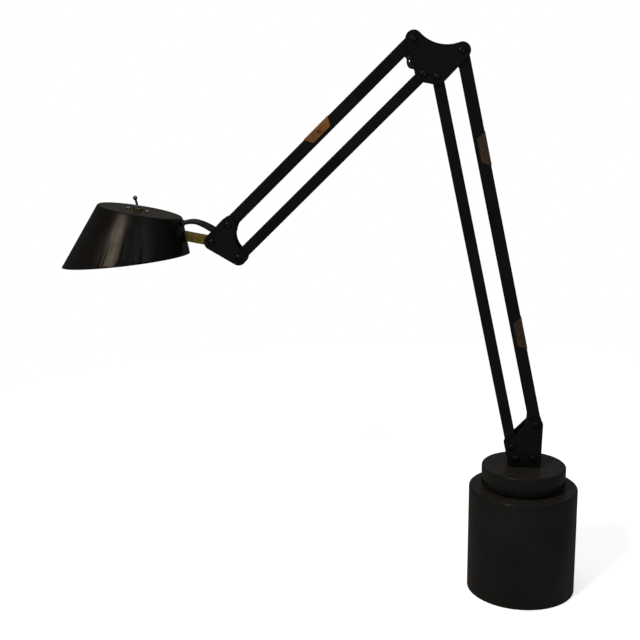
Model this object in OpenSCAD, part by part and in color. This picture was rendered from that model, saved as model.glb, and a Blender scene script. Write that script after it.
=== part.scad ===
// Desk lamp with two parallel-linkage arms on a turning, weighted drum base.
// Millimetres, +Z up. The origin is on the swivel axis, under the base.
// The arms lie in the XZ plane: the shade is toward -X and the front cheeks face -Y.

/* [Base drum] */
// Outer diameter of the base drum
base_d = 110; // [100:1:130]
// Height of the base drum, from the table to its flat top
base_h = 112; // [104:1:130]
// Sheet thickness of the drum
base_wall = 2; // [1.5:0.1:3]
// Radius of the drum's rounded top edge
base_edge = 2; // [0.8:0.1:4]
// How far the drum's lower edge stays above the table
base_gap = 1; // [0.5:0.1:1.6]
// Height of the rubber foot pad
foot_h = 2.2; // [1.8:0.1:4]
// Thickness of the bottom plate
plate_t = 3; // [2:0.1:4]
// Thickness of the cast ballast's floor
ballast_t = 26; // [15:1:30]
// Width of the raised rim round the ballast
rim_w = 14; // [6:0.5:15]
// Height of the raised rim above the ballast's floor
rim_h = 44; // [10:1:52]
// Radius of the circle that the three tie rods stand on
tie_circle_r = 40; // [38:0.5:41.5]
// Radius of each tie rod
tie_r = 1.8; // [1.5:0.1:2.2]
// Width of the transformer's iron core, along X
core_w = 58; // [40:1:60]
// Depth of the transformer's iron core, along Y
core_d = 40; // [30:1:44]
// Height of the transformer's iron core
core_h = 44; // [30:1:46]
// Radius of the clear bore in the mains cord's inlet grommet
inlet_r = 3.5; // [2.5:0.1:4.5]
// Height of the inlet's centre above the table
inlet_z = 42; // [40:1:60]

/* [Turntable] */
// Outer diameter of the turntable on top of the drum
cap_d = 85; // [76:1:96]
// Height of the turntable, from the drum's top to its own
cap_h = 22.6; // [20:0.1:28]
// Thickness of the turntable's top
cap_t = 3; // [2:0.1:4]
// Thickness of the turntable's skirt
skirt_t = 2; // [1.2:0.1:3]
// Radius of the turntable's rounded top edge
cap_edge = 1.6; // [0.8:0.1:3]
// Height of the recessed waist at the skirt's foot
waist_h = 3; // [1:0.1:5]
// How far the waist is set in from the skirt
waist_in = 2.4; // [0.4:0.1:4]
// Radius of the hollow spindle that the turntable turns on
spindle_r = 5; // [4.5:0.1:5.2]
// Radius of the spindle's bore, which the lead runs through
spindle_bore_r = 3.3; // [2.9:0.1:3.6]

/* [Arms] */
// Length of the lower arm between its pivots
lower_len = 375; // [330:1:400]
// Angle of the lower arm, counted up from the +X direction
lower_angle = 102.3; // [92:0.1:112]
// Length of the upper arm between its pivots
upper_len = 253; // [220:1:280]
// Angle of the upper arm where it leaves the elbow, counted the same way
upper_angle = 224.2; // [214:0.1:234]
// Height of the base bracket's upper pivot above the turntable
base_pivot_up = 45; // [42:0.1:52]
// Place of the base bracket's upper pivot along X
base_pivot_x = 9.9; // [8:0.1:12]
// Distance between the two lower-arm pivots on a bracket
lower_link = 33; // [31:0.1:37]
// Direction from the outer bar's pivot to the inner bar's, lower arm
lower_link_angle = 226; // [220:0.5:232]
// Distance between the two upper-arm pivots on a bracket
upper_link = 34; // [32:0.1:38]
// Direction from the outer bar's pivot to the inner bar's, upper arm
upper_link_angle = 286.6; // [282:0.5:292]
// Distance between the two outer bars' pivots on the elbow bracket
elbow_span = 47; // [45:0.5:54]
// Direction from the lower outer bar's pivot to the upper one's, on the elbow
elbow_angle = 166; // [162:0.5:172]

/* [Bars] */
// Width of the outer bars, which hold the springs
outer_w = 12; // [11.6:0.1:13]
// Width of the inner bars
inner_w = 11; // [9.6:0.1:11.4]
// Wall of the square bars
bar_wall = 1; // [0.8:0.1:1.2]
// Corner radius of the square bars
bar_corner = 1.3; // [0.5:0.1:1.8]
// How far the fork at a bar's end reaches past its pivot
fork_len = 8; // [7:0.5:10]
// How far the mouth for the lead reaches along an outer bar from each pivot
mouth_len = 24; // [22:0.5:30]

/* [Brackets] */
// Thickness of the cheek plates
cheek_t = 2.2; // [1.5:0.1:3]
// Radius of the pivot bolts
bolt_r = 2; // [1.6:0.05:2.2]
// Radius of the bolts' round heads
head_r = 3.6; // [3:0.1:4.5]
// Height of the bolts' round heads
head_h = 1.9; // [1.2:0.1:2.6]
// Thickness of the pivot washers
washer_t = 0.5; // [0.3:0.05:0.8]
// Radius round each pivot on the base bracket
base_lobe_r = 7.2; // [6.8:0.1:8.5]
// Radius round each pivot on the elbow bracket
elbow_lobe_r = 8.0; // [7.2:0.1:9.5]
// Radius round each pivot on the head bracket
head_lobe_r = 7.8; // [7:0.1:9]
// How far the elbow's hollowed edge stays outside the line of its pivots
elbow_dip = 1.0; // [0.2:0.1:5]
// How far the head bracket's hollowed edge stays outside the line of its pivots
head_dip = 2.0; // [1:0.1:5]
// Half the width of the base bracket at its foot
bracket_half_w = 16; // [14:0.5:18]
// Height of the two foot screws above the turntable
foot_screw_up = 9; // [7:0.1:11]
// Distance of each foot screw from the swivel axis
foot_screw_x = 8.7; // [8.3:0.1:10]

/* [Springs and saddles] */
// Distance from each pivot to the near end of a lower saddle
lower_saddle_at = 78.5; // [70:0.5:95]
// Distance from the elbow pivot to the near end of the upper saddle
upper_saddle_at = 108; // [90:0.5:115]
// Length of a saddle along the bar's outer edge
saddle_len = 33; // [26:0.5:40]
// How far a saddle reaches round the bar, from its outer edge
saddle_deep = 9; // [7:0.1:10]
// How much each end of a saddle leans in
saddle_lean = 5; // [2:0.1:8]
// Sheet thickness of the saddles
saddle_t = 0.5; // [0.3:0.05:0.8]
// Radius of the pin that holds a saddle and the spring's end
saddle_pin_r = 1.2; // [1:0.1:1.4]
// Outer radius of the springs
spring_r = 2.3; // [1.8:0.1:2.4]
// Radius of the spring wire
wire_r = 0.5; // [0.3:0.05:0.6]
// Distance from a pivot to the eye that its spring pulls on
crank_r = 6.4; // [6:0.1:7]

/* [Shade] */
// Diameter of the shade's flat top, measured at its sharp corner
shade_top_d = 84.7; // [76:0.1:92]
// Slope of the shade's side from its axis
shade_half_angle = 20.7; // [16:0.1:26]
// Depth of the shade along its axis
shade_depth = 50; // [42:0.1:54]
// Slope of the shade's mouth from its flat top
mouth_slope = 16.1; // [8:0.1:18]
// Sheet thickness of the shade
shade_t = 1; // [0.8:0.1:1.6]
// Radius of the shade's rounded top edge
shade_edge = 1.8; // [1.6:0.1:4]
// How far the shade's flat top is tipped down toward the arm
shade_tilt = 10.6; // [-10:0.1:25]
// How far the shade is turned about its link, as the lamp stands, with the near edge up below zero
shade_roll = -2.1; // [-10:0.1:10]
// Distance from the tilt pivot to the shade's axis
link_reach = 77.5; // [74:0.1:90]
// Depth of the link's centre line below the shade's flat top
link_drop = 16.8; // [15:0.1:20]
// Height of the flat link between shade and bracket
link_h = 10; // [8:0.1:10.4]
// Thickness of the flat link
link_t = 3; // [2:0.1:4]
// Distance of the head bracket's tilt pivot from the upper outer bar's
tilt_link = 24; // [21:0.1:28]
// Direction from the upper outer bar's pivot to the tilt pivot
tilt_link_angle = 225.6; // [220:0.1:232]
// Place of the toggle switch along the shade's top, counted from the axis toward the arm
switch_x = -2.5; // [-8:0.5:4]
// Distance of each small top screw from the switch
top_screw_x = 9.6; // [9:0.1:13]
// Length of the toggle lever from its pivot to the centre of its ball
lever_len = 10.3; // [8:0.1:14]
// Radius of the toggle lever's ball
lever_ball_r = 2; // [1.5:0.1:2.5]
// Lean of the toggle lever in its resting position
lever_lean = 25; // [6:0.5:26]

/* [Lamp and lead] */
// Radius of the lead
lead_r = 2.4; // [2:0.1:2.6]
// Radius of the lamp capsule
bulb_r = 5.5; // [4.5:0.1:6]
// Length of the lamp capsule's glass
bulb_len = 26; // [20:0.5:28]
// Radius of the inner reflector's mouth
reflector_r = 31; // [28:0.5:34]
// Depth of the inner reflector
reflector_h = 14; // [12:0.5:15]

/* [Fits] */
// Radial clearance of a turning fit
running = 0.05; // [0.02:0.01:0.09]
// Gap between faces that move past each other
side_gap = 0.3; // [0.2:0.05:0.5]
// Radial clearance of a fixed fit
fixed_fit = 0.05; // [0.02:0.01:0.1]

/* [Hidden] */
$fn = 48;

// Paint, metal and rubber as the object shows them
black_paint = [0.07, 0.07, 0.08];
plate_paint = [0.09, 0.09, 0.1];
zinc = [0.62, 0.62, 0.6];
yellow_zinc = [0.62, 0.52, 0.24];
rubber_black = [0.04, 0.04, 0.04];

// Joins, in whole numbers of the parts that they seat
base_top_z = base_h;
cap_top_z = base_h + cap_h;
outer_half = outer_w / 2;
inner_half = inner_w / 2;
cheek_in = max(outer_half, inner_half) + side_gap + washer_t;
cheek_out = cheek_in + cheek_t;
clear_r = bolt_r + running;
bush_wall = 1.2;
inner_hole_r = bolt_r + bush_wall + fixed_fit;

function dir(a) = [cos(a), sin(a)];
function unit(v) = v / norm(v);

// Pivots in the XZ plane
R2 = [base_pivot_x, cap_top_z + base_pivot_up];
R4 = R2 + lower_link * dir(lower_link_angle);
P2 = R2 + lower_len * dir(lower_angle);
P4 = R4 + lower_len * dir(lower_angle);
P1 = P2 + elbow_span * dir(elbow_angle);
P3 = P1 + upper_link * dir(upper_link_angle);
Q1 = P1 + upper_len * dir(upper_angle);
Q3 = P3 + upper_len * dir(upper_angle);
Q0 = Q1 + tilt_link * dir(tilt_link_angle);

// Drum
shell_in_r = base_d / 2 - base_wall;
plate_seat = base_wall / 2;
plate_top_z = foot_h + plate_t;
plate_r = shell_in_r + plate_seat - fixed_fit;
foot_r = plate_r - 1.5;
tie_head_h = foot_h - 0.6;
tie_head_r = tie_r + 1.8;
boss_r = tie_r + 2.6;
boss_h = 12;
tie_top_z = base_top_z - base_wall - boss_h / 2;
ballast_r = shell_in_r - 1.5;
ballast_top_z = plate_top_z + ballast_t;
core_top_z = ballast_top_z + core_h;
window_h = core_h * 0.5;
winding_out = 7;
winding_d = core_d + 2 * winding_out;
terminal_z = core_top_z;
terminal_size = [26, 14, 11];
inlet_wall_r = inlet_r + 1.6;
inlet_flange_r = inlet_r + 3.2;
flange_t = 1.6;

// Turntable and swivel
bush_r = spindle_r + 2.4;
bush_top_z = base_top_z + 2;
bush_low_z = base_top_z - base_wall - 2;
collar_r = spindle_r + 6;
collar_low_z = bush_top_z + side_gap;
cap_under_z = cap_top_z - cap_t;
skirt_low_z = base_top_z + 0.6;
spindle_down = 14;
spindle_low_z = base_top_z - spindle_down;
spindle_top_z = cap_top_z + 6;
nut_top_z = bush_low_z - side_gap;
nut_h = 5;
nut_af = 17;
stop_circle_r = 30;
stop_r = 2;
stop_top_z = base_top_z + 7;
lug_half = 3;
block_h = foot_screw_up + 5;
block_half = foot_screw_x + 4;
screw_r = 1.5;

// Bars, in each bar's own frame: x runs along the bar from its pivot, +z faces the other bar
lead_side = outer_half - bar_wall - lead_r - 0.2;
coil_z = -(outer_half - bar_wall - spring_r - 0.5);
spring_y = outer_half - bar_wall - spring_r - 0.4;
crank_t = 2.4;
crank_y = spring_y - wire_r - side_gap - crank_t;
crank_ring_r = clear_r + 1.5;
eye_r = wire_r + 0.2;
eye_up = 90;
eye_down = 270;
pin_z = -1.6;
coil_gap = 7;
coil_reach = 0.52;

// Shade and head, in the head's own frame: origin at the middle of the flat top, x toward the arm
shade_r = shade_top_d / 2;
side_slope = tan(shade_half_angle);
front_depth = (shade_depth * cos(mouth_slope) + shade_r * sin(mouth_slope))
              / (cos(mouth_slope) - side_slope * sin(mouth_slope));
grommet_depth = 4.6;
grommet_r = lead_r + 0.9;
flange_half = 8;
link_flange_t = 2;
bushing_r = 3;
bushing_up = 4.5;
bushing_bore_r = 2.3;
switch_half = 6.5;
switch_depth = 14;
switch_top = -shade_t - link_flange_t;
lever_r = 1;
lever_root_r = 1.8;
lever_pin_r = 0.5;
lever_up = 2;
top_screw_r = 1.5;
web_x = switch_x + top_screw_x + 3;
web_w = 10;
tab_x = 5;
tab_h = 3.6;
link_low = -link_drop - link_h / 2;
holder_x = 9;
holder_size = [16, 14, 14];
bulb_drop = 9;
reflector_t = 0.8;
reflector_flat_r = 8;
reflector_steps = 10;

// The place of a point [x, y, z] that is counted from pivot p, lies in the frame of a bar that leaves p
// at angle a, or lies in the head's own frame
function by_pivot(p, v) = [p[0] + v[0], v[1], p[1] + v[2]];
function in_bar(p, a, v) =
    by_pivot(p, [v[0] * cos(a) - v[2] * sin(a), v[1], v[0] * sin(a) + v[2] * cos(a)]);
function in_head(v) = let (z = v[2] + link_drop)
    in_bar(Q0, -shade_tilt, [v[0] - link_reach, v[1] * cos(shade_roll) - z * sin(shade_roll),
                             v[1] * sin(shade_roll) + z * cos(shade_roll)]);

// Where the lead's straight stretches in the outer bars start and end, from the pivots there
lead_from_foot = 32;
lead_to_elbow = 35;
boot_at = 24;
lead_to_wrist = 32;
lead_run = 9;

// The moulded boot on the lead, in the upper outer bar's own frame
BOOT = [[boot_at, -1.9, 2.4], [20, -1.9, 2.4], [18, -1.9, 2.8], [16.3, -1.8, 3.9], [15.1, -1.6, 5.6],
        [14.7, -1.4, 7.7], [15.1, -1.2, 9.7], [16.2, -1, 11.4], [18, -0.8, 13.3], [18.9, -0.7, 15.5],
        [18.7, -0.6, 16.8], [17.9, -0.6, 17.8], [16.2, -0.6, 19.5]];
boot_end = BOOT[len(BOOT) - 1];
before_boot_end = BOOT[len(BOOT) - 2];

// The lead's route, counted from the pivots that it passes, and inside the shade from its hole
FOOT_BY_R2 = [[-9.5, -0.4, -23.1], [-8.7, -1, -16.6], [-8.1, -1.6, -9.6], [-7.7, -2, -3.6],
              [-7.2, -2.3, 2.4], [-6.8, -2.3, 6.9], [-6.5, -2.3, 11.4], [-6.5, -2.3, 15.9]];
ELBOW_BY_P1 = [[10.1, -0.2, -24.7], [16.6, 0, -22.8], [23.1, -0.3, -20.4]];
ELBOW_BY_P2 = [[-17, -0.9, -7.4], [-12.5, -1.6, -6.9], [-8.7, -2.1, -7.6], [-5.4, -2.3, -9.8],
               [-2.4, -2.3, -13], [0.2, -2.3, -17.2], [2.1, -2.3, -22]];
WRIST_BY_Q1 = [[-3, 0, -9.8], [0.8, 0, -10.1], [3.7, -0.4, -8.4], [5.8, -0.9, -5.2], [6.8, -1.5, -1],
               [9.4, -2.1, 4.2], [13.1, -2.3, 9.1]];
ARC_BY_HOLE = [[-30.1, 5.5, -4], [-18.1, 4, -3.5], [-9.6, 1.7, -3], [-2.8, 0, -1.1], [2.8, 0, 1.1],
               [7, 0, 2.7], [12.8, 0, 3.8]];
ARC_BY_Q1 = [[-29, 0, 1], [-23, 0, -1.6], [-17, 0, -5], [-11.4, 0, -8], [-6.8, 0, -9.5]];
LEAD_FOOT = concat([[0, 0, spindle_low_z], [0, 0, cap_top_z + block_h + 1.4]],
                   [for (v = FOOT_BY_R2) by_pivot(R2, v)],
                   [for (x = [lead_from_foot - lead_run, lead_from_foot])
                       in_bar(R2, lower_angle, [x, -spring_y, lead_side])]);
LEAD_ELBOW = concat([for (k = [0, 1.5])
                        in_bar(P1, upper_angle, boot_end + k * (boot_end - before_boot_end))],
                    [for (v = ELBOW_BY_P1) by_pivot(P1, v)], [for (v = ELBOW_BY_P2) by_pivot(P2, v)],
                    [for (x = [lead_to_elbow - lead_run, lead_to_elbow])
                        in_bar(R2, lower_angle, [lower_len - x, -spring_y, lead_side])]);
LEAD_WRIST = concat([for (v = WRIST_BY_Q1) by_pivot(Q1, v)],
                    [for (x = [lead_to_wrist - lead_run, lead_to_wrist])
                        in_bar(P1, upper_angle, [upper_len - x, -spring_y, lead_side])]);
LEAD_ARC = concat([in_head([switch_x + switch_half, ARC_BY_HOLE[0][1], ARC_BY_HOLE[0][2] - grommet_depth])],
                  [for (v = ARC_BY_HOLE)
                      in_head([side_r(grommet_depth) + v[0], v[1], v[2] - grommet_depth])],
                  [for (v = ARC_BY_Q1) by_pivot(Q1, v)], [by_pivot(Q1, WRIST_BY_Q1[0])]);

// A convex plate outline: discs [x, z, radius] in counter-clockwise order and their common tangents
function tangent(a, b) =
    let (d = [b[0] - a[0], b[1] - a[1]], l = norm(d), u = d / l, k = (a[2] - b[2]) / l,
         n = u * k + [u[1], -u[0]] * sqrt(1 - k * k))
    [[a[0], a[1]] + n * a[2], [b[0], b[1]] + n * b[2]];

module tangent_plate(discs) {
    n = len(discs);
    polygon([for (i = [0:n - 1]) each tangent(discs[i], discs[(i + 1) % n])]);
    for (d = discs)
        translate([d[0], d[1]]) circle(d[2]);
}

// The disc that hollows a plate's edge between two equal lobes and touches both, with the corners that
// the plate's straight edge would leave beside each lobe
module hollow(a, b, lobe_r, dip) {
    half = norm(b - a) / 2;
    out = [(b - a)[1], -(b - a)[0]] / norm(b - a);
    r = (half * half + dip * dip - lobe_r * lobe_r) / (2 * (lobe_r - dip));
    middle = (a + b) / 2 + out * (r + dip);
    translate(middle) circle(r, $fn = 96);
    for (lobe = [a, b])
        difference() {
            polygon([lobe, middle, lobe + out * (r + dip)]);
            translate(lobe) circle(lobe_r);
        }
}

// Turns a flat XY drawing into a plate in the XZ plane, from y0 to y1
module upright(y0, y1) {
    translate([0, y1, 0]) rotate([90, 0, 0]) linear_extrude(y1 - y0) children();
}

// A round pin or hole along Y through a point of the XZ plane
module across(p, r, y0, y1) {
    translate([p[0], y1, p[1]]) rotate([90, 0, 0]) cylinder(r = r, h = y1 - y0);
}

// The frame of a bar that leaves pivot p at angle a
module bar_frame(p, a) {
    translate([p[0], 0, p[1]]) rotate([0, -a, 0]) children();
}

module bolt(p, r, y_head, y_end) {
    across(p, r, y_head, y_end);
    translate([p[0], y_head, p[1]]) rotate([90, 0, 0]) button_head();
}

// The low domed head of a pivot bolt, standing on z = 0
module button_head() {
    rim = head_h * 0.4;
    dome_r = (head_r * head_r + (head_h - rim) * (head_h - rim)) / (2 * (head_h - rim));
    difference() {
        union() {
            cylinder(r = head_r, h = rim);
            intersection() {
                translate([0, 0, head_h - dome_r]) sphere(dome_r);
                translate([0, 0, rim]) cylinder(r = head_r, h = head_h);
            }
        }
        translate([0, 0, head_h - 1]) cylinder(r = 1.25, h = 2, $fn = 6);
    }
}

module nut(p, y0, r) {
    af = r * 3.3;
    translate([p[0], y0 + r * 1.6, p[1]]) rotate([90, 0, 0]) difference() {
        cylinder(r = af / 2 / cos(30), h = r * 1.6, $fn = 6);
        translate([0, 0, -1]) cylinder(r = r + fixed_fit, h = r * 1.6 + 2);
    }
}

module washer(p, y0, t) {
    difference() {
        across(p, bolt_r + 2.6, y0, y0 + t);
        across(p, clear_r + 0.1, y0 - 1, y0 + t + 1);
    }
}

module pivot_set(points) {
    for (p = points) {
        bolt(p, bolt_r, -cheek_out, cheek_out + bolt_r * 1.6 + 0.6);
        nut(p, cheek_out, bolt_r);
    }
}

module washer_set(points) {
    for (p = points) {
        washer(p, -cheek_in, washer_t);
        washer(p, cheek_in - washer_t, washer_t);
    }
}

// The front cheek lies at side -1, the back one at side +1
module cheek(side) {
    y0 = side < 0 ? -cheek_out : cheek_in;
    upright(y0, y0 + cheek_t) children();
}

module bolt_holes(points) {
    for (p = points)
        translate(p) circle(bolt_r + fixed_fit);
}

module base_cheek_outline() {
    c = 1.6;
    difference() {
        tangent_plate([[-bracket_half_w + c, cap_top_z + c, c], [bracket_half_w - c, cap_top_z + c, c],
                       [R2[0], R2[1], base_lobe_r], [R4[0], R4[1], base_lobe_r]]);
        bolt_holes([R2, R4]);
        for (s = [-1, 1])
            translate([s * foot_screw_x, cap_top_z + foot_screw_up]) circle(screw_r + fixed_fit);
    }
}

module elbow_cheek_outline() {
    difference() {
        tangent_plate([for (p = [P3, P4, P2, P1]) [p[0], p[1], elbow_lobe_r]]);
        hollow(P2, P1, elbow_lobe_r, elbow_dip);
        bolt_holes([P1, P2, P3, P4]);
    }
}

module head_cheek_outline() {
    difference() {
        tangent_plate([for (p = [Q0, Q3, Q1]) [p[0], p[1], head_lobe_r]]);
        hollow(Q3, Q1, head_lobe_r, head_dip);
        bolt_holes([Q0, Q1, Q3]);
    }
}

module base_cheek_front() {
    color(plate_paint) cheek(-1) base_cheek_outline();
}

module base_cheek_back() {
    color(plate_paint) cheek(1) base_cheek_outline();
}

module elbow_cheek_front() {
    color(plate_paint) cheek(-1) elbow_cheek_outline();
}

module elbow_cheek_back() {
    color(plate_paint) cheek(1) elbow_cheek_outline();
}

module head_cheek_front() {
    color(plate_paint) cheek(-1) head_cheek_outline();
}

module head_cheek_back() {
    color(plate_paint) cheek(1) head_cheek_outline();
}

// A quarter-round profile corner between two points, for turned parts
function corner(c, r, a0, a1, n = 6) = [for (i = [0:n]) c + r * dir(a0 + (a1 - a0) * i / n)];

// Puts its children at the three tie rods, at height z
module at_ties(z) {
    for (i = [0:2])
        rotate(i * 120 + 30) translate([tie_circle_r, 0, z]) children();
}

module base_shell() {
    r = base_d / 2;
    seat_z = plate_top_z;
    color(black_paint) difference() {
        union() {
            rotate_extrude($fn = 96) polygon(concat(
                [[bush_r + fixed_fit, base_top_z - base_wall], [bush_r + fixed_fit, base_top_z]],
                corner([r - base_edge, base_top_z - base_edge], base_edge, 90, 0),
                [[r, base_gap], [shell_in_r + plate_seat, base_gap], [shell_in_r + plate_seat, seat_z],
                 [shell_in_r, seat_z], [shell_in_r, base_top_z - base_wall]]));
            at_ties(base_top_z - base_wall - boss_h) cylinder(r = boss_r, h = boss_h + 0.5);
        }
        at_ties(base_top_z - base_wall - boss_h - 1) cylinder(r = tie_r + fixed_fit, h = boss_h - 1);
        translate([0, 0, inlet_z]) rotate([-90, 0, 0]) cylinder(r = inlet_wall_r + fixed_fit, h = base_d);
        translate([stop_circle_r, 0, base_top_z - base_wall - 1])
            cylinder(r = stop_r + fixed_fit, h = base_wall + 2);
    }
}

module base_plate() {
    color(zinc) difference() {
        translate([0, 0, foot_h]) cylinder(r = plate_r, h = plate_t, $fn = 96);
        at_ties(foot_h - 1) cylinder(r = tie_r + fixed_fit, h = plate_t + 2);
    }
}

module foot_pad() {
    color(rubber_black) difference() {
        cylinder(r = foot_r, h = foot_h, $fn = 96);
        at_ties(-1) cylinder(r = tie_head_r + 0.6, h = foot_h + 2);
    }
}

module tie_rods() {
    color(zinc) at_ties(foot_h - tie_head_h) {
        cylinder(r = tie_head_r, h = tie_head_h);
        cylinder(r = tie_r, h = tie_top_z - foot_h + tie_head_h);
    }
}

module ballast() {
    color([0.25, 0.25, 0.26]) difference() {
        rotate_extrude($fn = 96) polygon([
            [0, plate_top_z], [ballast_r, plate_top_z], [ballast_r, ballast_top_z + rim_h],
            [ballast_r - rim_w, ballast_top_z + rim_h], [ballast_r - rim_w, ballast_top_z],
            [0, ballast_top_z]]);
        at_ties(plate_top_z - 1) cylinder(r = tie_r + 0.5, h = ballast_t + rim_h + 2);
        translate([0, 0, inlet_z]) rotate([-90, 0, 0]) cylinder(r = inlet_flange_r + 1, h = base_d);
    }
}

module transformer_core() {
    color([0.35, 0.35, 0.36]) translate([0, 0, ballast_top_z]) difference() {
        translate([-core_w / 2, -core_d / 2, 0]) cube([core_w, core_d, core_h]);
        for (s = [-1, 1])
            translate([s * core_w / 4 - core_w / 12, -core_d, (core_h - window_h) / 2])
                cube([core_w / 6, core_d * 2, window_h]);
    }
}

module transformer_winding() {
    half_leg = core_w / 4 - core_w / 12;
    reach = core_w / 4 + core_w / 12 - fixed_fit;
    z0 = ballast_top_z + (core_h - window_h) / 2 + fixed_fit;
    color([0.55, 0.35, 0.15]) difference() {
        translate([0, 0, z0]) linear_extrude(window_h - 2 * fixed_fit)
            offset_square(reach, winding_d / 2, 3);
        translate([-half_leg - fixed_fit, -core_d / 2 - fixed_fit, z0 - 1])
            cube([2 * (half_leg + fixed_fit), core_d + 2 * fixed_fit, window_h + 2]);
    }
}

// A rectangle with round corners, from circles and squares
module offset_square(hx, hy, r) {
    square([2 * hx - 2 * r, 2 * hy], center = true);
    square([2 * hx, 2 * hy - 2 * r], center = true);
    for (x = [-1, 1], y = [-1, 1])
        translate([x * (hx - r), y * (hy - r)]) circle(r);
}

module terminal_block() {
    color([0.85, 0.83, 0.76]) difference() {
        translate([-terminal_size[0] / 2, -terminal_size[1] / 2, terminal_z]) cube(terminal_size);
        for (x = [-1, 1], y = [-1, 1])
            translate([x * terminal_size[0] / 3, y * terminal_size[1] / 4,
                       terminal_z + terminal_size[2] - 5])
                cylinder(r = 1.6, h = 6);
    }
}

module inlet_grommet() {
    out = base_d / 2;
    in = out - base_wall - flange_t - 1;
    color(rubber_black) translate([0, 0, inlet_z]) rotate([-90, 0, 0]) difference() {
        union() {
            translate([0, 0, in]) cylinder(r = inlet_flange_r, h = flange_t + 0.5);
            translate([0, 0, in]) cylinder(r = inlet_wall_r, h = out - in + flange_t);
            translate([0, 0, out]) cylinder(r1 = inlet_flange_r, r2 = inlet_wall_r + 0.4, h = flange_t);
        }
        translate([0, 0, in - 1]) cylinder(r = inlet_r, h = out - in + flange_t + 2);
    }
}

module swivel_bush() {
    color([0.9, 0.88, 0.8]) rotate_extrude() polygon([
        [spindle_r + running, bush_low_z], [bush_r, bush_low_z], [bush_r, base_top_z],
        [collar_r + 1, base_top_z], [collar_r + 1, bush_top_z], [spindle_r + running, bush_top_z]]);
}

module stop_pin() {
    color(zinc) translate([stop_circle_r, 0, 0]) {
        translate([0, 0, base_top_z - base_wall])
            cylinder(r = stop_r, h = stop_top_z - base_top_z + base_wall);
        translate([0, 0, base_top_z - base_wall - 1.5]) cylinder(r = stop_r + 1.2, h = 1.5);
    }
}

module turntable() {
    r = cap_d / 2;
    waist_r = r - waist_in;
    waist_z = skirt_low_z + waist_h;
    color(black_paint) {
        rotate_extrude($fn = 96) polygon(concat(
            [[spindle_r + fixed_fit, cap_under_z], [spindle_r + fixed_fit, cap_top_z]],
            corner([r - cap_edge, cap_top_z - cap_edge], cap_edge, 90, 0),
            [[r, waist_z], [waist_r, waist_z], [waist_r, skirt_low_z], [waist_r - skirt_t, skirt_low_z],
             [waist_r - skirt_t, waist_z + skirt_t], [r - skirt_t, waist_z + skirt_t],
             [r - skirt_t, cap_under_z]]));
        translate([-stop_circle_r - lug_half, -lug_half, base_top_z + 2])
            cube([2 * lug_half, 2 * lug_half, cap_under_z - base_top_z - 1]);
    }
}

module spindle() {
    color(zinc) rotate_extrude() polygon([
        [spindle_bore_r, spindle_low_z], [spindle_r, spindle_low_z], [spindle_r, collar_low_z],
        [collar_r, collar_low_z], [collar_r, cap_under_z], [spindle_r, cap_under_z],
        [spindle_r, spindle_top_z], [spindle_bore_r, spindle_top_z]]);
}

module spindle_nut() {
    color(zinc) translate([0, 0, nut_top_z - nut_h]) difference() {
        cylinder(r = nut_af / 2 / cos(30), h = nut_h, $fn = 6);
        translate([0, 0, -1]) cylinder(r = spindle_r + fixed_fit, h = nut_h + 2);
    }
}

module bracket_foot() {
    color(plate_paint) difference() {
        translate([-block_half, -cheek_in, cap_top_z]) cube([2 * block_half, 2 * cheek_in, block_h]);
        translate([0, 0, cap_top_z - 1])
            cylinder(r = spindle_r + fixed_fit, h = spindle_top_z - cap_top_z + 1);
        translate([0, 0, cap_top_z - 1]) cylinder(r = lead_r + 0.4, h = block_h + 2);
        for (s = [-1, 1])
            across([s * foot_screw_x, cap_top_z + foot_screw_up], screw_r + fixed_fit,
                   -cheek_out, cheek_out);
    }
}

module foot_screws() {
    color(zinc) for (s = [-1, 1]) {
        p = [s * foot_screw_x, cap_top_z + foot_screw_up];
        bolt(p, screw_r, -cheek_out, cheek_out + screw_r * 1.6 + 0.4);
        nut(p, cheek_out, screw_r);
    }
}

module base_pivot_bolts() {
    color(zinc) pivot_set([R2, R4]);
}

module base_washers() {
    color(zinc) washer_set([R2, R4]);
}

module elbow_pivot_bolts() {
    color(zinc) pivot_set([P1, P2, P3, P4]);
}

module elbow_washers() {
    color(zinc) washer_set([P1, P2, P3, P4]);
}

module head_pivot_bolts() {
    color(zinc) pivot_set([Q0, Q1, Q3]);
}

// The tilt pivot's washers fill the space beside the thin link and grip it
module head_washers() {
    color(zinc) {
        washer_set([Q1, Q3]);
        for (s = [-1, 1])
            difference() {
                across(Q0, bolt_r + 3.2, s < 0 ? -cheek_in : link_t / 2 + side_gap,
                       s < 0 ? -link_t / 2 - side_gap : cheek_in);
                across(Q0, bolt_r + fixed_fit, -cheek_out, cheek_out);
            }
    }
}

// A square tube from pivot to pivot, forked at both ends, with a mouth at both on its +z side
module bar(w, length, hole_r, mouth) {
    h = w / 2;
    in = h - bar_wall;
    difference() {
        union() {
            rotate([90, 0, 90]) linear_extrude(length) offset_square(h, h, bar_corner);
            for (x = [0, length])
                translate([x, h, 0]) rotate([90, 0, 0]) cylinder(r = h, h = w);
        }
        translate([-w, -in, -in]) cube([length + 2 * w, 2 * in, 2 * in]);
        translate([-w, -in, -w]) cube([w + fork_len, 2 * in, w]);
        translate([-w, -in, 0]) cube([w + mouth, 2 * in, w]);
        translate([length - fork_len, -in, -w]) cube([w + fork_len, 2 * in, w]);
        translate([length - mouth, -in, 0]) cube([w + mouth, 2 * in, w]);
        for (x = [0, length])
            translate([x, w, 0]) rotate([90, 0, 0]) cylinder(r = hole_r, h = 2 * w);
    }
}

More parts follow.
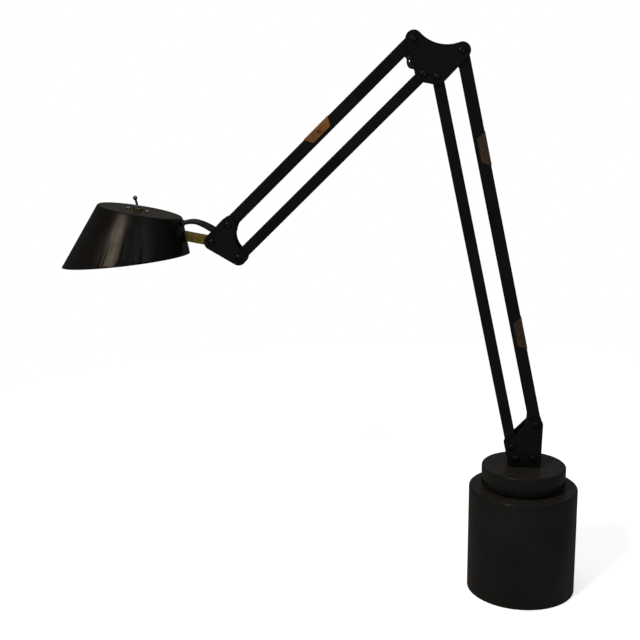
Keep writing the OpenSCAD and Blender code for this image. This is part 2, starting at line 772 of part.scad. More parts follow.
// A flanged sleeve swaged into an inner bar's fork, at each end
module inner_bushes(length) {
    sleeve_r = bolt_r + bush_wall;
    flange_r = sleeve_r + bush_wall;
    for (x = [0, length])
        translate([x, 0, 0]) rotate([90, 0, 0]) rotate_extrude() polygon([
            [clear_r, -outer_half], [flange_r, -outer_half], [flange_r, -inner_half],
            [sleeve_r, -inner_half], [sleeve_r, inner_half],
            [flange_r, inner_half], [flange_r, outer_half], [clear_r, outer_half]]);
}

module lower_outer_bar() {
    color(black_paint) bar_frame(R2, lower_angle) difference() {
        bar(outer_w, lower_len, clear_r, mouth_len);
        saddle_pin_hole(lower_saddle_at + saddle_len / 2);
        saddle_pin_hole(lower_len - lower_saddle_at - saddle_len / 2);
    }
}

module lower_inner_bar() {
    color(black_paint) bar_frame(R4, lower_angle) bar(inner_w, lower_len, inner_hole_r, fork_len);
}

module lower_inner_bushes() {
    color("peru") bar_frame(R4, lower_angle) inner_bushes(lower_len);
}

module upper_outer_bar() {
    color(black_paint) bar_frame(P1, upper_angle) difference() {
        bar(outer_w, upper_len, clear_r, mouth_len);
        saddle_pin_hole(upper_saddle_at + saddle_len / 2);
    }
}

module upper_inner_bar() {
    color(black_paint) bar_frame(P3, upper_angle) bar(inner_w, upper_len, inner_hole_r, fork_len);
}

module upper_inner_bushes() {
    color("peru") bar_frame(P3, upper_angle) inner_bushes(upper_len);
}

module saddle_pin_hole(x) {
    translate([x, outer_w, pin_z]) rotate([90, 0, 0])
        cylinder(r = saddle_pin_r + fixed_fit, h = 2 * outer_w);
}

// A thin channel pressed over the bar's outer edge, its sides tapering toward the inner one
module saddle(x0) {
    out = outer_half + saddle_t;
    mid = x0 + saddle_len / 2;
    low = -out + saddle_deep;
    color([0.4, 0.29, 0.17]) difference() {
        intersection() {
            translate([x0, 0, 0]) rotate([90, 0, 90]) linear_extrude(saddle_len)
                offset_square(out, out, bar_corner + saddle_t);
            translate([0, out + 1, 0]) rotate([90, 0, 0]) linear_extrude(2 * out + 2)
                polygon([[x0, -out], [x0 + saddle_len, -out], [x0 + saddle_len - saddle_lean, low],
                         [x0 + saddle_lean, low]]);
        }
        translate([x0 - 1, 0, 0]) rotate([90, 0, 90]) linear_extrude(saddle_len + 2)
            offset_square(outer_half, outer_half, bar_corner);
        translate([mid, outer_w, pin_z]) rotate([90, 0, 0])
            cylinder(r = saddle_pin_r + fixed_fit, h = 2 * outer_w);
    }
}

module saddle_pin(x) {
    y = outer_half + saddle_t;
    color([0.12, 0.12, 0.12]) translate([x, y + 0.6, pin_z]) rotate([90, 0, 0]) {
        cylinder(r = saddle_pin_r, h = 2 * y + 1.2);
        cylinder(r = saddle_pin_r + 0.7, h = 0.6);
        translate([0, 0, 2 * y + 0.6]) cylinder(r = saddle_pin_r + 0.7, h = 0.6);
    }
}

module lower_saddles() {
    bar_frame(R2, lower_angle) {
        saddle(lower_saddle_at);
        saddle(lower_len - lower_saddle_at - saddle_len);
    }
}

module lower_saddle_pins() {
    bar_frame(R2, lower_angle) {
        saddle_pin(lower_saddle_at + saddle_len / 2);
        saddle_pin(lower_len - lower_saddle_at - saddle_len / 2);
    }
}

module upper_saddle() {
    bar_frame(P1, upper_angle) saddle(upper_saddle_at);
}

module upper_saddle_pin() {
    bar_frame(P1, upper_angle) saddle_pin(upper_saddle_at + saddle_len / 2);
}

// The eye of a crank that points along e, in the frame of a bar that leaves its pivot at angle a
function eye_place(e, a) = crank_r * [cos(e - a), sin(e - a)];

// A ring that the pivot bolt clamps to the bracket, with an arm that the spring pulls on
module crank(p, e) {
    top = crank_y + crank_t;
    eye = p + crank_r * dir(e);
    eye_wall = 1;
    color(zinc) difference() {
        union() {
            across(p, crank_ring_r, crank_y, top);
            across(eye, eye_r + eye_wall, crank_y, top);
            bar_frame(p, e) translate([0, crank_y, -eye_r - eye_wall])
                cube([crank_r, crank_t, 2 * (eye_r + eye_wall)]);
        }
        across(p, bolt_r + fixed_fit, crank_y - 1, top + 1);
        across(eye, eye_r, crank_y - 1, top + 1);
    }
}

module base_crank() {
    crank(R2, eye_up);
}

module elbow_cranks() {
    crank(P1, eye_up);
    crank(P2, eye_down);
}

// A rod of radius r between two points
module rod(a, b, r) {
    d = b - a;
    translate(a) rotate([0, acos(d[2] / norm(d)), atan2(d[1], d[0])])
        cylinder(r = r, h = norm(d), $fn = 24);
}

// A close-wound spring from the saddle's pin at x_pin to a crank's eye, in the frame of the bar that
// leaves that crank's pivot. side is 1 where the frame's +z faces the other bar, and -1 where it doesn't.
module spring(x_pin, eye, side) {
    near = x_pin - coil_gap;
    far = x_pin * (1 - coil_reach);
    loop_r = saddle_pin_r + wire_r + 0.15;
    turn = 2.4 * wire_r;
    z = side * coil_z;
    hook = [eye[0], spring_y, eye[1]];
    color([0.45, 0.45, 0.46]) union() {
        difference() {
            translate([far, spring_y, z]) rotate([0, 90, 0]) cylinder(r = spring_r, h = near - far);
            translate([far - 1, spring_y, z]) rotate([0, 90, 0])
                cylinder(r = spring_r - 2 * wire_r, h = near - far + 2);
        }
        // A turn crosses the coil at each end, and the hooks leave from its middle
        for (x = [near - 1.5 * turn, far + 0.5 * turn])
            translate([x, spring_y - spring_r + wire_r, z - turn / 2])
                cube([turn, 2 * (spring_r - wire_r), turn]);
        rod([near - turn, spring_y, z], [x_pin - loop_r, spring_y, side * pin_z], wire_r);
        translate([x_pin, spring_y, side * pin_z]) rotate([90, 0, 0]) rotate_extrude()
            translate([loop_r, 0]) circle(wire_r, $fn = 24);
        rod([far + turn, spring_y, z], hook, wire_r);
        translate([hook[0], spring_y + wire_r + 0.1, hook[2]]) rotate([90, 0, 0])
            cylinder(r = wire_r + 0.05, h = spring_y + wire_r - crank_y + 0.6, $fn = 24);
    }
}

module lower_spring_foot() {
    bar_frame(R2, lower_angle) spring(lower_saddle_at + saddle_len / 2, eye_place(eye_up, lower_angle), 1);
}

module lower_spring_top() {
    bar_frame(P2, lower_angle + 180)
        spring(lower_saddle_at + saddle_len / 2, eye_place(eye_down, lower_angle + 180), -1);
}

module upper_spring() {
    bar_frame(P1, upper_angle) spring(upper_saddle_at + saddle_len / 2, eye_place(eye_up, upper_angle), 1);
}

// The link's frame, with its x along the link and its origin the shade's depth of link_drop above it
module link_frame() {
    translate([Q0[0], 0, Q0[1]]) rotate([0, shade_tilt, 0]) translate([-link_reach, 0, link_drop])
        children();
}

// The head's own frame, turned about the link: the middle of the flat top, x toward the arm, z out of it
module head_frame() {
    link_frame() translate([0, 0, -link_drop]) rotate([shade_roll, 0, 0]) translate([0, 0, link_drop])
        children();
}

// Outer radius of the shade at a depth below its flat top
function side_r(depth) = shade_r + depth * side_slope;

// Half the shade's section: flat top, rounded edge and sloping side, all of one thickness
module shade_section() {
    low = -front_depth - 4;
    c = [shade_r - shade_edge * (1 - sin(shade_half_angle)) / cos(shade_half_angle), -shade_edge];
    in = shade_t / cos(shade_half_angle);
    polygon(concat([[0, -shade_t], [0, 0]], corner(c, shade_edge, 90, shade_half_angle),
                   [[side_r(-low), low], [side_r(-low) - in, low]],
                   corner(c, shade_edge - shade_t, shade_half_angle, 90)));
}

module shade() {
    link_fit = 0.3;
    color(black_paint) head_frame() difference() {
        rotate_extrude($fn = 128) shade_section();
        translate([0, 0, -shade_depth]) rotate([0, -mouth_slope, 0])
            translate([-2 * base_d, -2 * base_d, -base_d]) cube([4 * base_d, 4 * base_d, base_d]);
        translate([switch_x, 0, -shade_t - 1]) cylinder(r = bushing_r + fixed_fit, h = shade_t + 2);
        for (s = [-1, 1])
            translate([switch_x + s * top_screw_x, 0, -shade_t - 1])
                cylinder(r = top_screw_r + fixed_fit, h = shade_t + 2);
        translate([shade_r / 2, -link_t / 2 - link_fit, link_low - link_fit])
            cube([link_reach, link_t + 2 * link_fit, link_h + 2 * link_fit]);
        grommet_frame() cylinder(r = grommet_r + fixed_fit, h = 4 * grommet_r, center = true);
    }
}

// The lead's hole in the shade's side, square to that side
module grommet_frame() {
    translate([side_r(grommet_depth), 0, -grommet_depth]) rotate([0, 90 - shade_half_angle, 0]) children();
}

module shade_grommet() {
    hug = 0.3;
    color(rubber_black) head_frame() grommet_frame() rotate_extrude() polygon([
        [lead_r + 0.15, -shade_t - hug - 0.8], [grommet_r + 0.9, -shade_t - hug - 0.8],
        [grommet_r + 0.9, -shade_t - hug],
        [grommet_r, -shade_t - hug], [grommet_r, 0.2], [grommet_r + 0.7, 0.2], [grommet_r + 0.3, 1.4],
        [lead_r + 0.15, 1.4]]);
}

// The flat link: a bar on edge from the tilt pivot, a web, and the flange that the top screws hold
module head_link() {
    color(yellow_zinc) difference() {
        union() {
            link_frame() upright(-link_t / 2, link_t / 2) {
                translate([web_x, link_low]) square([link_reach - web_x, link_h]);
                translate([link_reach, -link_drop]) circle(link_h / 2);
            }
            head_frame() upright(-link_t / 2, link_t / 2) {
                translate([web_x, link_low]) square([web_w, -link_low - shade_t]);
                translate([-tab_x, link_low]) square([web_x + tab_x + 1, tab_h]);
            }
            head_frame() translate([switch_x - top_screw_x - 4, -flange_half, -shade_t - link_flange_t])
                cube([web_x + web_w - switch_x + top_screw_x + 4, 2 * flange_half, link_flange_t]);
        }
        link_frame() across([link_reach, -link_drop], clear_r, -link_t, link_t);
        head_frame() translate([switch_x, 0, -shade_t - link_flange_t - 1]) {
            cylinder(r = bushing_r + fixed_fit, h = link_flange_t + 2);
            for (s = [-1, 1])
                translate([s * top_screw_x, 0, 0])
                    cylinder(r = top_screw_r + fixed_fit, h = link_flange_t + 2);
        }
    }
}

module top_screws() {
    color(zinc) head_frame() for (s = [-1, 1])
        translate([switch_x + s * top_screw_x, 0, 0]) {
            difference() {
                union() {
                    cylinder(r = top_screw_r + 1.1, h = 0.7);
                    translate([0, 0, 0.7])
                        cylinder(r1 = top_screw_r + 1.1, r2 = top_screw_r + 0.3, h = 0.6);
                }
                translate([-3, -0.35, 0.8]) cube([6, 0.7, 2]);
            }
            translate([0, 0, switch_top - 1.6])
                cylinder(r = top_screw_r, h = 1.6 - switch_top);
        }
}

module lampholder() {
    hole_r = 0.8;
    color([0.88, 0.86, 0.8]) head_frame() difference() {
        translate([holder_x, -holder_size[1] / 2, link_low - holder_size[2]]) cube(holder_size);
        for (s = [-1, 1])
            translate([holder_x - 1, s * 2, link_low - bulb_drop]) rotate([0, 90, 0])
                cylinder(r = hole_r, h = holder_size[0] / 2);
    }
}

// A small halogen capsule: a pinched foot on two pins, and a round glass with a domed end
module bulb() {
    body = bulb_len - bulb_r;
    color([0.9, 0.93, 0.95]) head_frame() translate([holder_x, 0, link_low - bulb_drop])
        rotate([0, -90, 0]) {
        translate([-2, -3.5, 0]) cube([4, 7, 5]);
        translate([0, 0, 4]) cylinder(r = bulb_r, h = body - 4);
        translate([0, 0, body]) sphere(bulb_r);
        for (s = [-1, 1])
            translate([0, s * 2, -5]) cylinder(r = 0.5, h = 6);
    }
}

// A spun bowl over the lamp, notched for the lampholder
module reflector() {
    function bowl(i) = let (k = i / reflector_steps)
        [reflector_flat_r + (reflector_r - reflector_flat_r) * k, link_low - reflector_h * pow(k, 1.5)];
    outer = [for (i = [0:reflector_steps]) bowl(i)];
    inner = [for (i = [reflector_steps:-1:0]) bowl(i) - [0, reflector_t]];
    color([0.8, 0.8, 0.8]) head_frame() difference() {
        rotate_extrude($fn = 96)
            polygon(concat([[0, link_low]], outer, inner, [[0, link_low - reflector_t]]));
        translate([holder_x - side_gap, -holder_size[1] / 2 - side_gap, link_low - 2 * reflector_h])
            cube([reflector_r, holder_size[1] + 2 * side_gap, 3 * reflector_h]);
    }
}

module switch_body() {
    color([0.15, 0.15, 0.16]) head_frame() translate([switch_x, 0, 0]) difference() {
        union() {
            translate([-switch_half, -switch_half, switch_top - switch_depth])
                cube([2 * switch_half, 2 * switch_half, switch_depth]);
            translate([0, 0, switch_top - 1]) cylinder(r = bushing_r, h = bushing_up - switch_top + 1);
        }
        translate([0, 0, -lever_root_r - 1])
            cylinder(r = bushing_bore_r, h = bushing_up + lever_root_r + 2);
        across([0, lever_up], lever_pin_r + running, -2 * bushing_r, 2 * bushing_r);
    }
}

module switch_nut() {
    washer_h = 0.5;
    nut_high = 2;
    color([0.66, 0.6, 0.34]) head_frame() translate([switch_x, 0, 0]) {
        difference() {
            cylinder(r = bushing_r + 2.8, h = washer_h);
            translate([0, 0, -1]) cylinder(r = bushing_r + fixed_fit, h = washer_h + 2);
        }
        translate([0, 0, washer_h]) difference() {
            cylinder(r = bushing_r + 2.5, h = nut_high, $fn = 6);
            translate([0, 0, -1]) cylinder(r = bushing_r + fixed_fit, h = nut_high + 2);
        }
    }
}

module toggle_lever() {
    color([0.7, 0.7, 0.7]) head_frame() translate([switch_x, 0, lever_up]) rotate([0, -lever_lean, 0]) {
        sphere(lever_root_r);
        cylinder(r1 = lever_r * 0.75, r2 = lever_r * 1.2, h = lever_len);
        translate([0, 0, lever_len]) sphere(lever_ball_r);
        across([0, 0], lever_pin_r, -bushing_r + 0.2, bushing_r - 0.2);
    }
}

// A round lead swept along points, with rings square to the route
module lead(points, r = lead_r, sides = 10) {
    n = len(points);
    function heading(i) = unit(i == 0 ? points[1] - points[0]
        : i == n - 1 ? points[n - 1] - points[n - 2]
        : unit(points[i + 1] - points[i]) + unit(points[i] - points[i - 1]));
    function ring(i) = let (t = heading(i), s = unit(cross(t, [0, 1, 0])), u = cross(t, s))
        [for (k = [0:sides - 1]) points[i] + r * (cos(k * 360 / sides) * s + sin(k * 360 / sides) * u)];
    rings = [for (i = [0:n - 1]) each ring(i)];
    walls = [for (i = [0:n - 2], k = [0:sides - 1]) let (a = i * sides + k, b = i * sides + (k + 1) % sides)
        each [[a, a + sides, b + sides], [a, b + sides, b]]];
    ends = [[for (k = [0:sides - 1]) k], [for (k = [sides - 1:-1:0]) (n - 1) * sides + k]];
    polyhedron(rings, concat(walls, ends));
}

module lead_base() {
    low = terminal_z + terminal_size[2];
    color(rubber_black) translate([0, 0, low]) cylinder(r = lead_r, h = spindle_low_z - low);
}

module lead_foot() {
    color(rubber_black) lead(LEAD_FOOT);
}

module lead_elbow() {
    color(rubber_black) lead(LEAD_ELBOW);
}

module lead_wrist() {
    color(rubber_black) lead(LEAD_WRIST);
}

module lead_arc() {
    color(rubber_black) lead(LEAD_ARC);
}

// The straight stretch inside an outer bar, between x0 and x1 of the bar's frame
module lead_in_bar(x0, x1) {
    translate([x0, -spring_y, lead_side]) rotate([0, 90, 0]) cylinder(r = lead_r, h = x1 - x0);
}

module lead_lower() {
    color(rubber_black) bar_frame(R2, lower_angle) lead_in_bar(lead_from_foot, lower_len - lead_to_elbow);
}

// The upper stretch ends in a moulded boot that turns the lead out of the bar beside the elbow
module lead_upper() {
    color(rubber_black) bar_frame(P1, upper_angle) {
        lead_in_bar(boot_at, upper_len - lead_to_wrist);
        lead(BOOT, lead_r + 0.4);
    }
}

base_shell();
base_plate();
foot_pad();
tie_rods();
ballast();
transformer_core();
transformer_winding();
terminal_block();
inlet_grommet();
swivel_bush();
stop_pin();
lead_base();
turntable();
spindle();
spindle_nut();
bracket_foot();
base_cheek_front();
base_cheek_back();
foot_screws();
base_pivot_bolts();
base_washers();
base_crank();
lead_foot();
lower_outer_bar();
lower_saddles();
lower_saddle_pins();
lower_spring_top();
lower_spring_foot();
lead_lower();
lower_inner_bar();
lower_inner_bushes();
elbow_cheek_front();
elbow_cheek_back();
elbow_pivot_bolts();
elbow_washers();
elbow_cranks();
lead_elbow();
upper_outer_bar();
upper_saddle();
upper_saddle_pin();
upper_spring();
lead_upper();
upper_inner_bar();
upper_inner_bushes();
head_cheek_front();
head_cheek_back();
head_pivot_bolts();
head_washers();
lead_wrist();
head_link();
shade();
shade_grommet();
top_screws();
lampholder();
bulb();
reflector();
switch_body();
switch_nut();
toggle_lever();
lead_arc();
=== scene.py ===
"""The finishes, fasteners, springs, lead and studio of a desk lamp with two linked arms.

Lengths in the tables and the mesh functions are millimetres, as in the lamp's own source. Everything that
reaches Blender is in metres, in the frame of the packed model: +Z up, the shade toward -X, the front at -Y.
"""

import math
import random

import bmesh
import bpy
from bpy.props import FloatProperty, FloatVectorProperty, IntProperty, PointerProperty
from mathutils import Matrix, Vector


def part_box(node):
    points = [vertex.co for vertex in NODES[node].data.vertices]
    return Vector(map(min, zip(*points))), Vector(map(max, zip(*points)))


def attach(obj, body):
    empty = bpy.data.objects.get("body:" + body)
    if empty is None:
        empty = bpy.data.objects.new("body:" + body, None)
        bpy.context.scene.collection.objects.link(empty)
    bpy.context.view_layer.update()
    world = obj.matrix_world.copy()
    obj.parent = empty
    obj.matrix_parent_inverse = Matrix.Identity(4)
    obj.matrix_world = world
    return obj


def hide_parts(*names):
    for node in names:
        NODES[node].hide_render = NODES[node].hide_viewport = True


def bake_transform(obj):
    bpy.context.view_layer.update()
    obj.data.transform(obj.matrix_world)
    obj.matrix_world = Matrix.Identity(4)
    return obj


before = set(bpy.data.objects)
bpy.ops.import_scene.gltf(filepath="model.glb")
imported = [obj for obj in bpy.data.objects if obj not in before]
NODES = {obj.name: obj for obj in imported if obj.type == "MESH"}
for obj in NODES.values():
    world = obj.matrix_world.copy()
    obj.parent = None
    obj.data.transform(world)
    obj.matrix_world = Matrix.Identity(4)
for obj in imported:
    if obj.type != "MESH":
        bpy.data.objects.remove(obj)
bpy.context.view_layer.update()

bl_info = {
    "name": "Desk Lamp With Linked Arms",
    "version": (1, 0, 0),
    "blender": (4, 5, 0),
    "location": "3D View > Sidebar > Desk Lamp",
    "description": "Finishes, fasteners, springs, lead and studio for a desk lamp with two linked arms",
    "category": "Object",
}

MM = 0.001

# The lamp's sizes in millimetres and its angles in degrees, as its source has them. Drum and arms:
CAP_TOP = 134.6
LOWER_LEN, LOWER_ANGLE = 375.0, 102.3
UPPER_LEN, UPPER_ANGLE = 253.0, 224.2
CHEEK_OUT = 9.0
# Pivot bolts and foot screws, with their button heads
BOLT_R, SCREW_R = 2.0, 1.5
BUTTON_R, BUTTON_H = 3.6, 1.9
FOOT_SCREW_X, FOOT_SCREW_UP = 8.7, 9.0
# Springs: the wire, its coil, the saddle's pin that holds one end and the crank's eye that holds the other
SPRING_Y, COIL_Z, WIRE_R, COIL_R = 2.3, 2.2, 0.5, 1.8
PIN_Z, PIN_R, LOWER_PIN_X, UPPER_PIN_X = 1.6, 1.2, 95.0, 124.5
CRANK_R, CRANK_LOW_Y = 6.4, -0.9
# Lead: its side of an outer bar, and how far from the pivots it lies straight there
LEAD_SIDE, LEAD_RUN, LEAD_JOIN_Z = 2.4, 9.0, 98.0
LEAD_FROM_FOOT, LEAD_TO_ELBOW, LEAD_FROM_BOOT, LEAD_TO_WRIST = 32.0, 35.0, 24.0, 32.0
# Shade, and what stands on it and in it
SHADE_TILT, SHADE_ROLL, LINK_REACH, LINK_DROP = 10.6, -2.1, 77.5, 16.8
SHADE_TOP_R, SHADE_HALF_ANGLE, HOLE_DEPTH = 42.35, 20.7, 4.6
SWITCH_X, SWITCH_HALF, BUSHING_R = -2.5, 6.5, 3.0
LEVER_UP, LEVER_LEN, LEVER_LEAN = 2.0, 10.3, 25.0
HOLDER_X, LINK_LOW, LAMP_DROP, LAMP_R, LAMP_LEN = 9.0, -21.8, 9.0, 5.5, 26.0

# Sizes that only this script has, in millimetres. The ball is a little fuller than the solid's.
BALL_R = 2.3
NUT_WALL = 2.5
THREAD_PITCH, THREAD_DEPTH = 0.35, 0.16
COIL_POINTS = 14
LEAD_STEP = 1.6
SLEEVE = 1.2

# Camera, in metres: its place, and the directions of its right side and its view
LENS, SENSOR = 60.36, 36.0
EYE = Vector((-0.1136, -1.0514, 0.5203))
EYE_RIGHT = Vector((0.9962, 0.0865, -0.0103))
EYE_FORWARD = Vector((-0.0867, 0.972, -0.2185))

WHITE = (1.0, 1.0, 1.0)
# Warm grey that the paint takes on upward faces: partly settled dust, partly painted light on the tops
DUST_AND_TOP_LIGHT = (0.20, 0.17, 0.14)


def aside(start, length, angle):
    """The point of the XZ plane that lies length away from start, at angle."""
    turn = math.radians(angle)
    return (start[0] + length * math.cos(turn), start[1] + length * math.sin(turn))


# The pivots: R on the base bracket, P on the elbow's and Q on the head's
R2 = (9.9, CAP_TOP + 45.0)
R4 = aside(R2, 33.0, 226.0)
P2 = aside(R2, LOWER_LEN, LOWER_ANGLE)
P4 = aside(R4, LOWER_LEN, LOWER_ANGLE)
P1 = aside(P2, 47.0, 166.0)
P3 = aside(P1, 34.0, 286.6)
Q1 = aside(P1, UPPER_LEN, UPPER_ANGLE)
Q3 = aside(P3, UPPER_LEN, UPPER_ANGLE)
Q0 = aside(Q1, 24.0, 225.6)


def by_pivot(pivot, v):
    """The place of v, counted from a pivot of the XZ plane."""
    return Vector((pivot[0] + v[0], v[1], pivot[1] + v[2]))


def in_bar(pivot, angle, v):
    """The place of v, given in the frame of a bar that leaves pivot at angle."""
    c, s = math.cos(math.radians(angle)), math.sin(math.radians(angle))
    return by_pivot(pivot, (v[0] * c - v[2] * s, v[1], v[0] * s + v[2] * c))


def lead_in_bar(pivot, angle, *distances):
    """Points of the lead in an outer bar, at distances from pivot."""
    return [in_bar(pivot, angle, (x, -SPRING_Y, LEAD_SIDE)) for x in distances]


HEAD = (
    Matrix.Translation((Q0[0], 0.0, Q0[1]))
    @ Matrix.Rotation(math.radians(SHADE_TILT), 4, "Y")
    @ Matrix.Rotation(math.radians(SHADE_ROLL), 4, "X")
    @ Matrix.Translation((-LINK_REACH, 0.0, LINK_DROP))
)


def in_head(v):
    """The place of v, given in the shade's frame: the middle of its flat top, x toward the arm."""
    return HEAD @ Vector(v)


# The lead's route, in millimetres. Beside P1 it runs further in than in the source, to clear the inner bar
# when the upper arm is up.
BOOT = [
    in_bar(P1, UPPER_ANGLE, v)
    for v in (
        (24, -1.9, 2.4), (20, -1.9, 2.4), (18, -1.9, 2.8), (16.3, -1.8, 3.9), (15.1, -1.6, 5.6),
        (14.7, -1.4, 7.7), (15.1, -1.2, 9.7), (16.2, -1, 11.4), (18, -0.8, 13.3), (18.9, -0.7, 15.5),
        (18.7, -0.6, 16.8), (17.9, -0.6, 17.8), (16.2, -0.6, 19.5),
    )
]
FOOT_ROUTE = (
    [Vector((0, 0, z)) for z in (LEAD_JOIN_Z, 124, 150)]
    + [
        by_pivot(R2, v)
        for v in (
            (-9.5, -0.4, -23.1), (-8.7, -1, -16.6), (-8.1, -1.6, -9.6), (-7.7, -2, -3.6),
            (-7.2, -2.3, 2.4), (-6.8, -2.3, 6.9), (-6.5, -2.3, 11.4), (-6.5, -2.3, 15.9),
        )
    ]
    + lead_in_bar(R2, LOWER_ANGLE, LEAD_FROM_FOOT - LEAD_RUN, LEAD_FROM_FOOT)
)
ELBOW_ROUTE = (
    [BOOT[-1]]
    + [
        by_pivot(P1, v)
        for v in (
            (4.2, -0.5, -23.2), (6.9, -0.4, -20.9), (10.7, -0.2, -20.3), (16.2, 0, -21.6),
            (23.1, -0.3, -20.4),
        )
    ]
    + [
        by_pivot(P2, v)
        for v in (
            (-17, -0.9, -7.4), (-12.5, -1.6, -6.9), (-8.7, -2.1, -7.6), (-5.4, -2.3, -9.8),
            (-2.4, -2.3, -13), (0.2, -2.3, -17.2), (2.1, -2.3, -22),
        )
    ]
    + lead_in_bar(R2, LOWER_ANGLE, LOWER_LEN - LEAD_TO_ELBOW + LEAD_RUN, LOWER_LEN - LEAD_TO_ELBOW)
)
WRIST_ROUTE = [
    by_pivot(Q1, v)
    for v in (
        (-3, 0, -9.8), (0.8, 0, -10.1), (3.7, -0.4, -8.4), (5.8, -0.9, -5.2), (6.8, -1.5, -1),
        (9.4, -2.1, 4.2), (13.1, -2.3, 9.1),
    )
] + lead_in_bar(P1, UPPER_ANGLE, UPPER_LEN - LEAD_TO_WRIST + LEAD_RUN, UPPER_LEN - LEAD_TO_WRIST)
HOLE_X = SHADE_TOP_R + HOLE_DEPTH * math.tan(math.radians(SHADE_HALF_ANGLE))
ARC_ROUTE = (
    [in_head((SWITCH_X + SWITCH_HALF, 5.5, -4 - HOLE_DEPTH))]
    + [
        in_head((HOLE_X + v[0], v[1], v[2] - HOLE_DEPTH))
        for v in (
            (-30.1, 5.5, -4), (-18.1, 4, -3.5), (-9.6, 1.7, -3), (-2.8, 0, -1.1), (2.8, 0, 1.1),
            (7, 0, 2.7), (12.8, 0, 3.8),
        )
    ]
    + [
        by_pivot(Q1, v)
        for v in (
            (-29, 0, 1), (-23, 0, -1.6), (-17, 0, -5), (-11.4, 0, -8), (-6.8, 0, -9.5), (-3, 0, -9.8),
        )
    ]
)


class LampFinishes(bpy.types.PropertyGroup):
    """Colours and gloss of the lamp."""

    paint: FloatVectorProperty(
        name="Paint", description="Colour of the satin paint on the drum, the bars and the brackets",
        subtype="COLOR", size=3, min=0.0, max=1.0, default=(0.0022, 0.0024, 0.0026),
    )
    shade_paint: FloatVectorProperty(
        name="Shade paint", description="Colour of the glossier paint on the shade",
        subtype="COLOR", size=3, min=0.0, max=1.0, default=(0.0010, 0.0009, 0.0008),
    )
    gloss: FloatProperty(
        name="Paint gloss", description="How strongly the satin paint mirrors the room",
        subtype="FACTOR", min=0.0, max=1.0, default=0.05,
    )
    shade_gloss: FloatProperty(
        name="Shade gloss", description="How strongly the shade's paint mirrors the room",
        subtype="FACTOR", min=0.0, max=1.0, default=0.055,
    )
    fastener: FloatVectorProperty(
        name="Fasteners", description="Colour of the blackened bolts and nuts",
        subtype="COLOR", size=3, min=0.0, max=1.0, default=(0.0042, 0.0038, 0.0036),
    )
    link: FloatVectorProperty(
        name="Link", description="Colour of the yellow-plated link between shade and arm",
        subtype="COLOR", size=3, min=0.0, max=1.0, default=(0.046, 0.035, 0.009),
    )
    upper_saddle: FloatVectorProperty(
        name="Upper saddle", description="Colour of the sheet saddle on the upper arm",
        subtype="COLOR", size=3, min=0.0, max=1.0, default=(0.046, 0.021, 0.0062),
    )
    # The lower saddles are the upper saddle's sheet painted far darker: painted shade on the lower arm
    lower_saddles: FloatVectorProperty(
        name="Lower saddles", description="Colour of the two sheet saddles on the lower arm",
        subtype="COLOR", size=3, min=0.0, max=1.0, default=(0.0092, 0.0058, 0.0034),
    )
    lead: FloatVectorProperty(
        name="Lead", description="Colour of the lead's rubber",
        subtype="COLOR", size=3, min=0.0, max=1.0, default=(0.0028, 0.0028, 0.0026),
    )


class LampHardware(bpy.types.PropertyGroup):
    """Sizes of the fasteners, the springs and the softened edges."""

    socket: FloatProperty(
        name="Hex socket", description="Width across the flats of the socket in a bolt's head",
        subtype="DISTANCE", unit="LENGTH", min=0.0015, max=0.003, default=0.0025,
    )
    nut: FloatProperty(
        name="Locknut", description="Width across the flats of the locknuts on the pivot bolts",
        subtype="DISTANCE", unit="LENGTH", min=0.006, max=0.007, default=0.0066,
    )
    plate_edge: FloatProperty(
        name="Plate edge", description="Width of the softened edge round the bracket plates",
        subtype="DISTANCE", unit="LENGTH", min=0.0, max=0.0008, default=0.00035,
    )
    fine_edge: FloatProperty(
        name="Fine edge", description="Width of the softened edge on bars, sheet parts and machined parts",
        subtype="DISTANCE", unit="LENGTH", min=0.0, max=0.0004, default=0.00015,
    )
    spring_pitch: FloatProperty(
        name="Spring pitch", description="Distance from one turn of a spring to the next",
        subtype="DISTANCE", unit="LENGTH", min=0.001, max=0.003, default=0.00106,
    )


class LampLead(bpy.types.PropertyGroup):
    """Sizes of the lead and its moulded boot."""

    diameter: FloatProperty(
        name="Diameter", description="Diameter of the lead, as the packed model has it",
        subtype="DISTANCE", unit="LENGTH", min=0.004, max=0.0052,
        default=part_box("lead_base")[1].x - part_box("lead_base")[0].x,
    )
    sides: IntProperty(
        name="Sides", description="Number of flats round the lead's mesh", min=12, max=48, default=24,
    )
    boot_wall: FloatProperty(
        name="Boot wall", description="How far the moulded boot stands out from the lead",
        subtype="DISTANCE", unit="LENGTH", min=0.0002, max=0.0008, default=0.0004,
    )


class LampStudio(bpy.types.PropertyGroup):
    """Light and floor of the studio."""

    key: FloatProperty(
        name="Key", description="Power of the warm lamp at the upper left",
        unit="POWER", min=0.0, default=68.0,
    )
    fill: FloatProperty(
        name="Fill", description="Power of the cool lamp at the right",
        unit="POWER", min=0.0, default=12.0,
    )
    top: FloatProperty(
        name="Top", description="Power of the large soft lamp overhead",
        unit="POWER", min=0.0, default=14.0,
    )
    room: FloatProperty(
        name="Room", description="Strength of the even light from all round",
        subtype="FACTOR", min=0.0, max=1.0, default=0.5,
    )
    floor: FloatVectorProperty(
        name="Floor", description="Colour of the floor",
        subtype="COLOR", size=3, min=0.0, max=1.0, default=(0.90, 0.90, 0.89),
    )


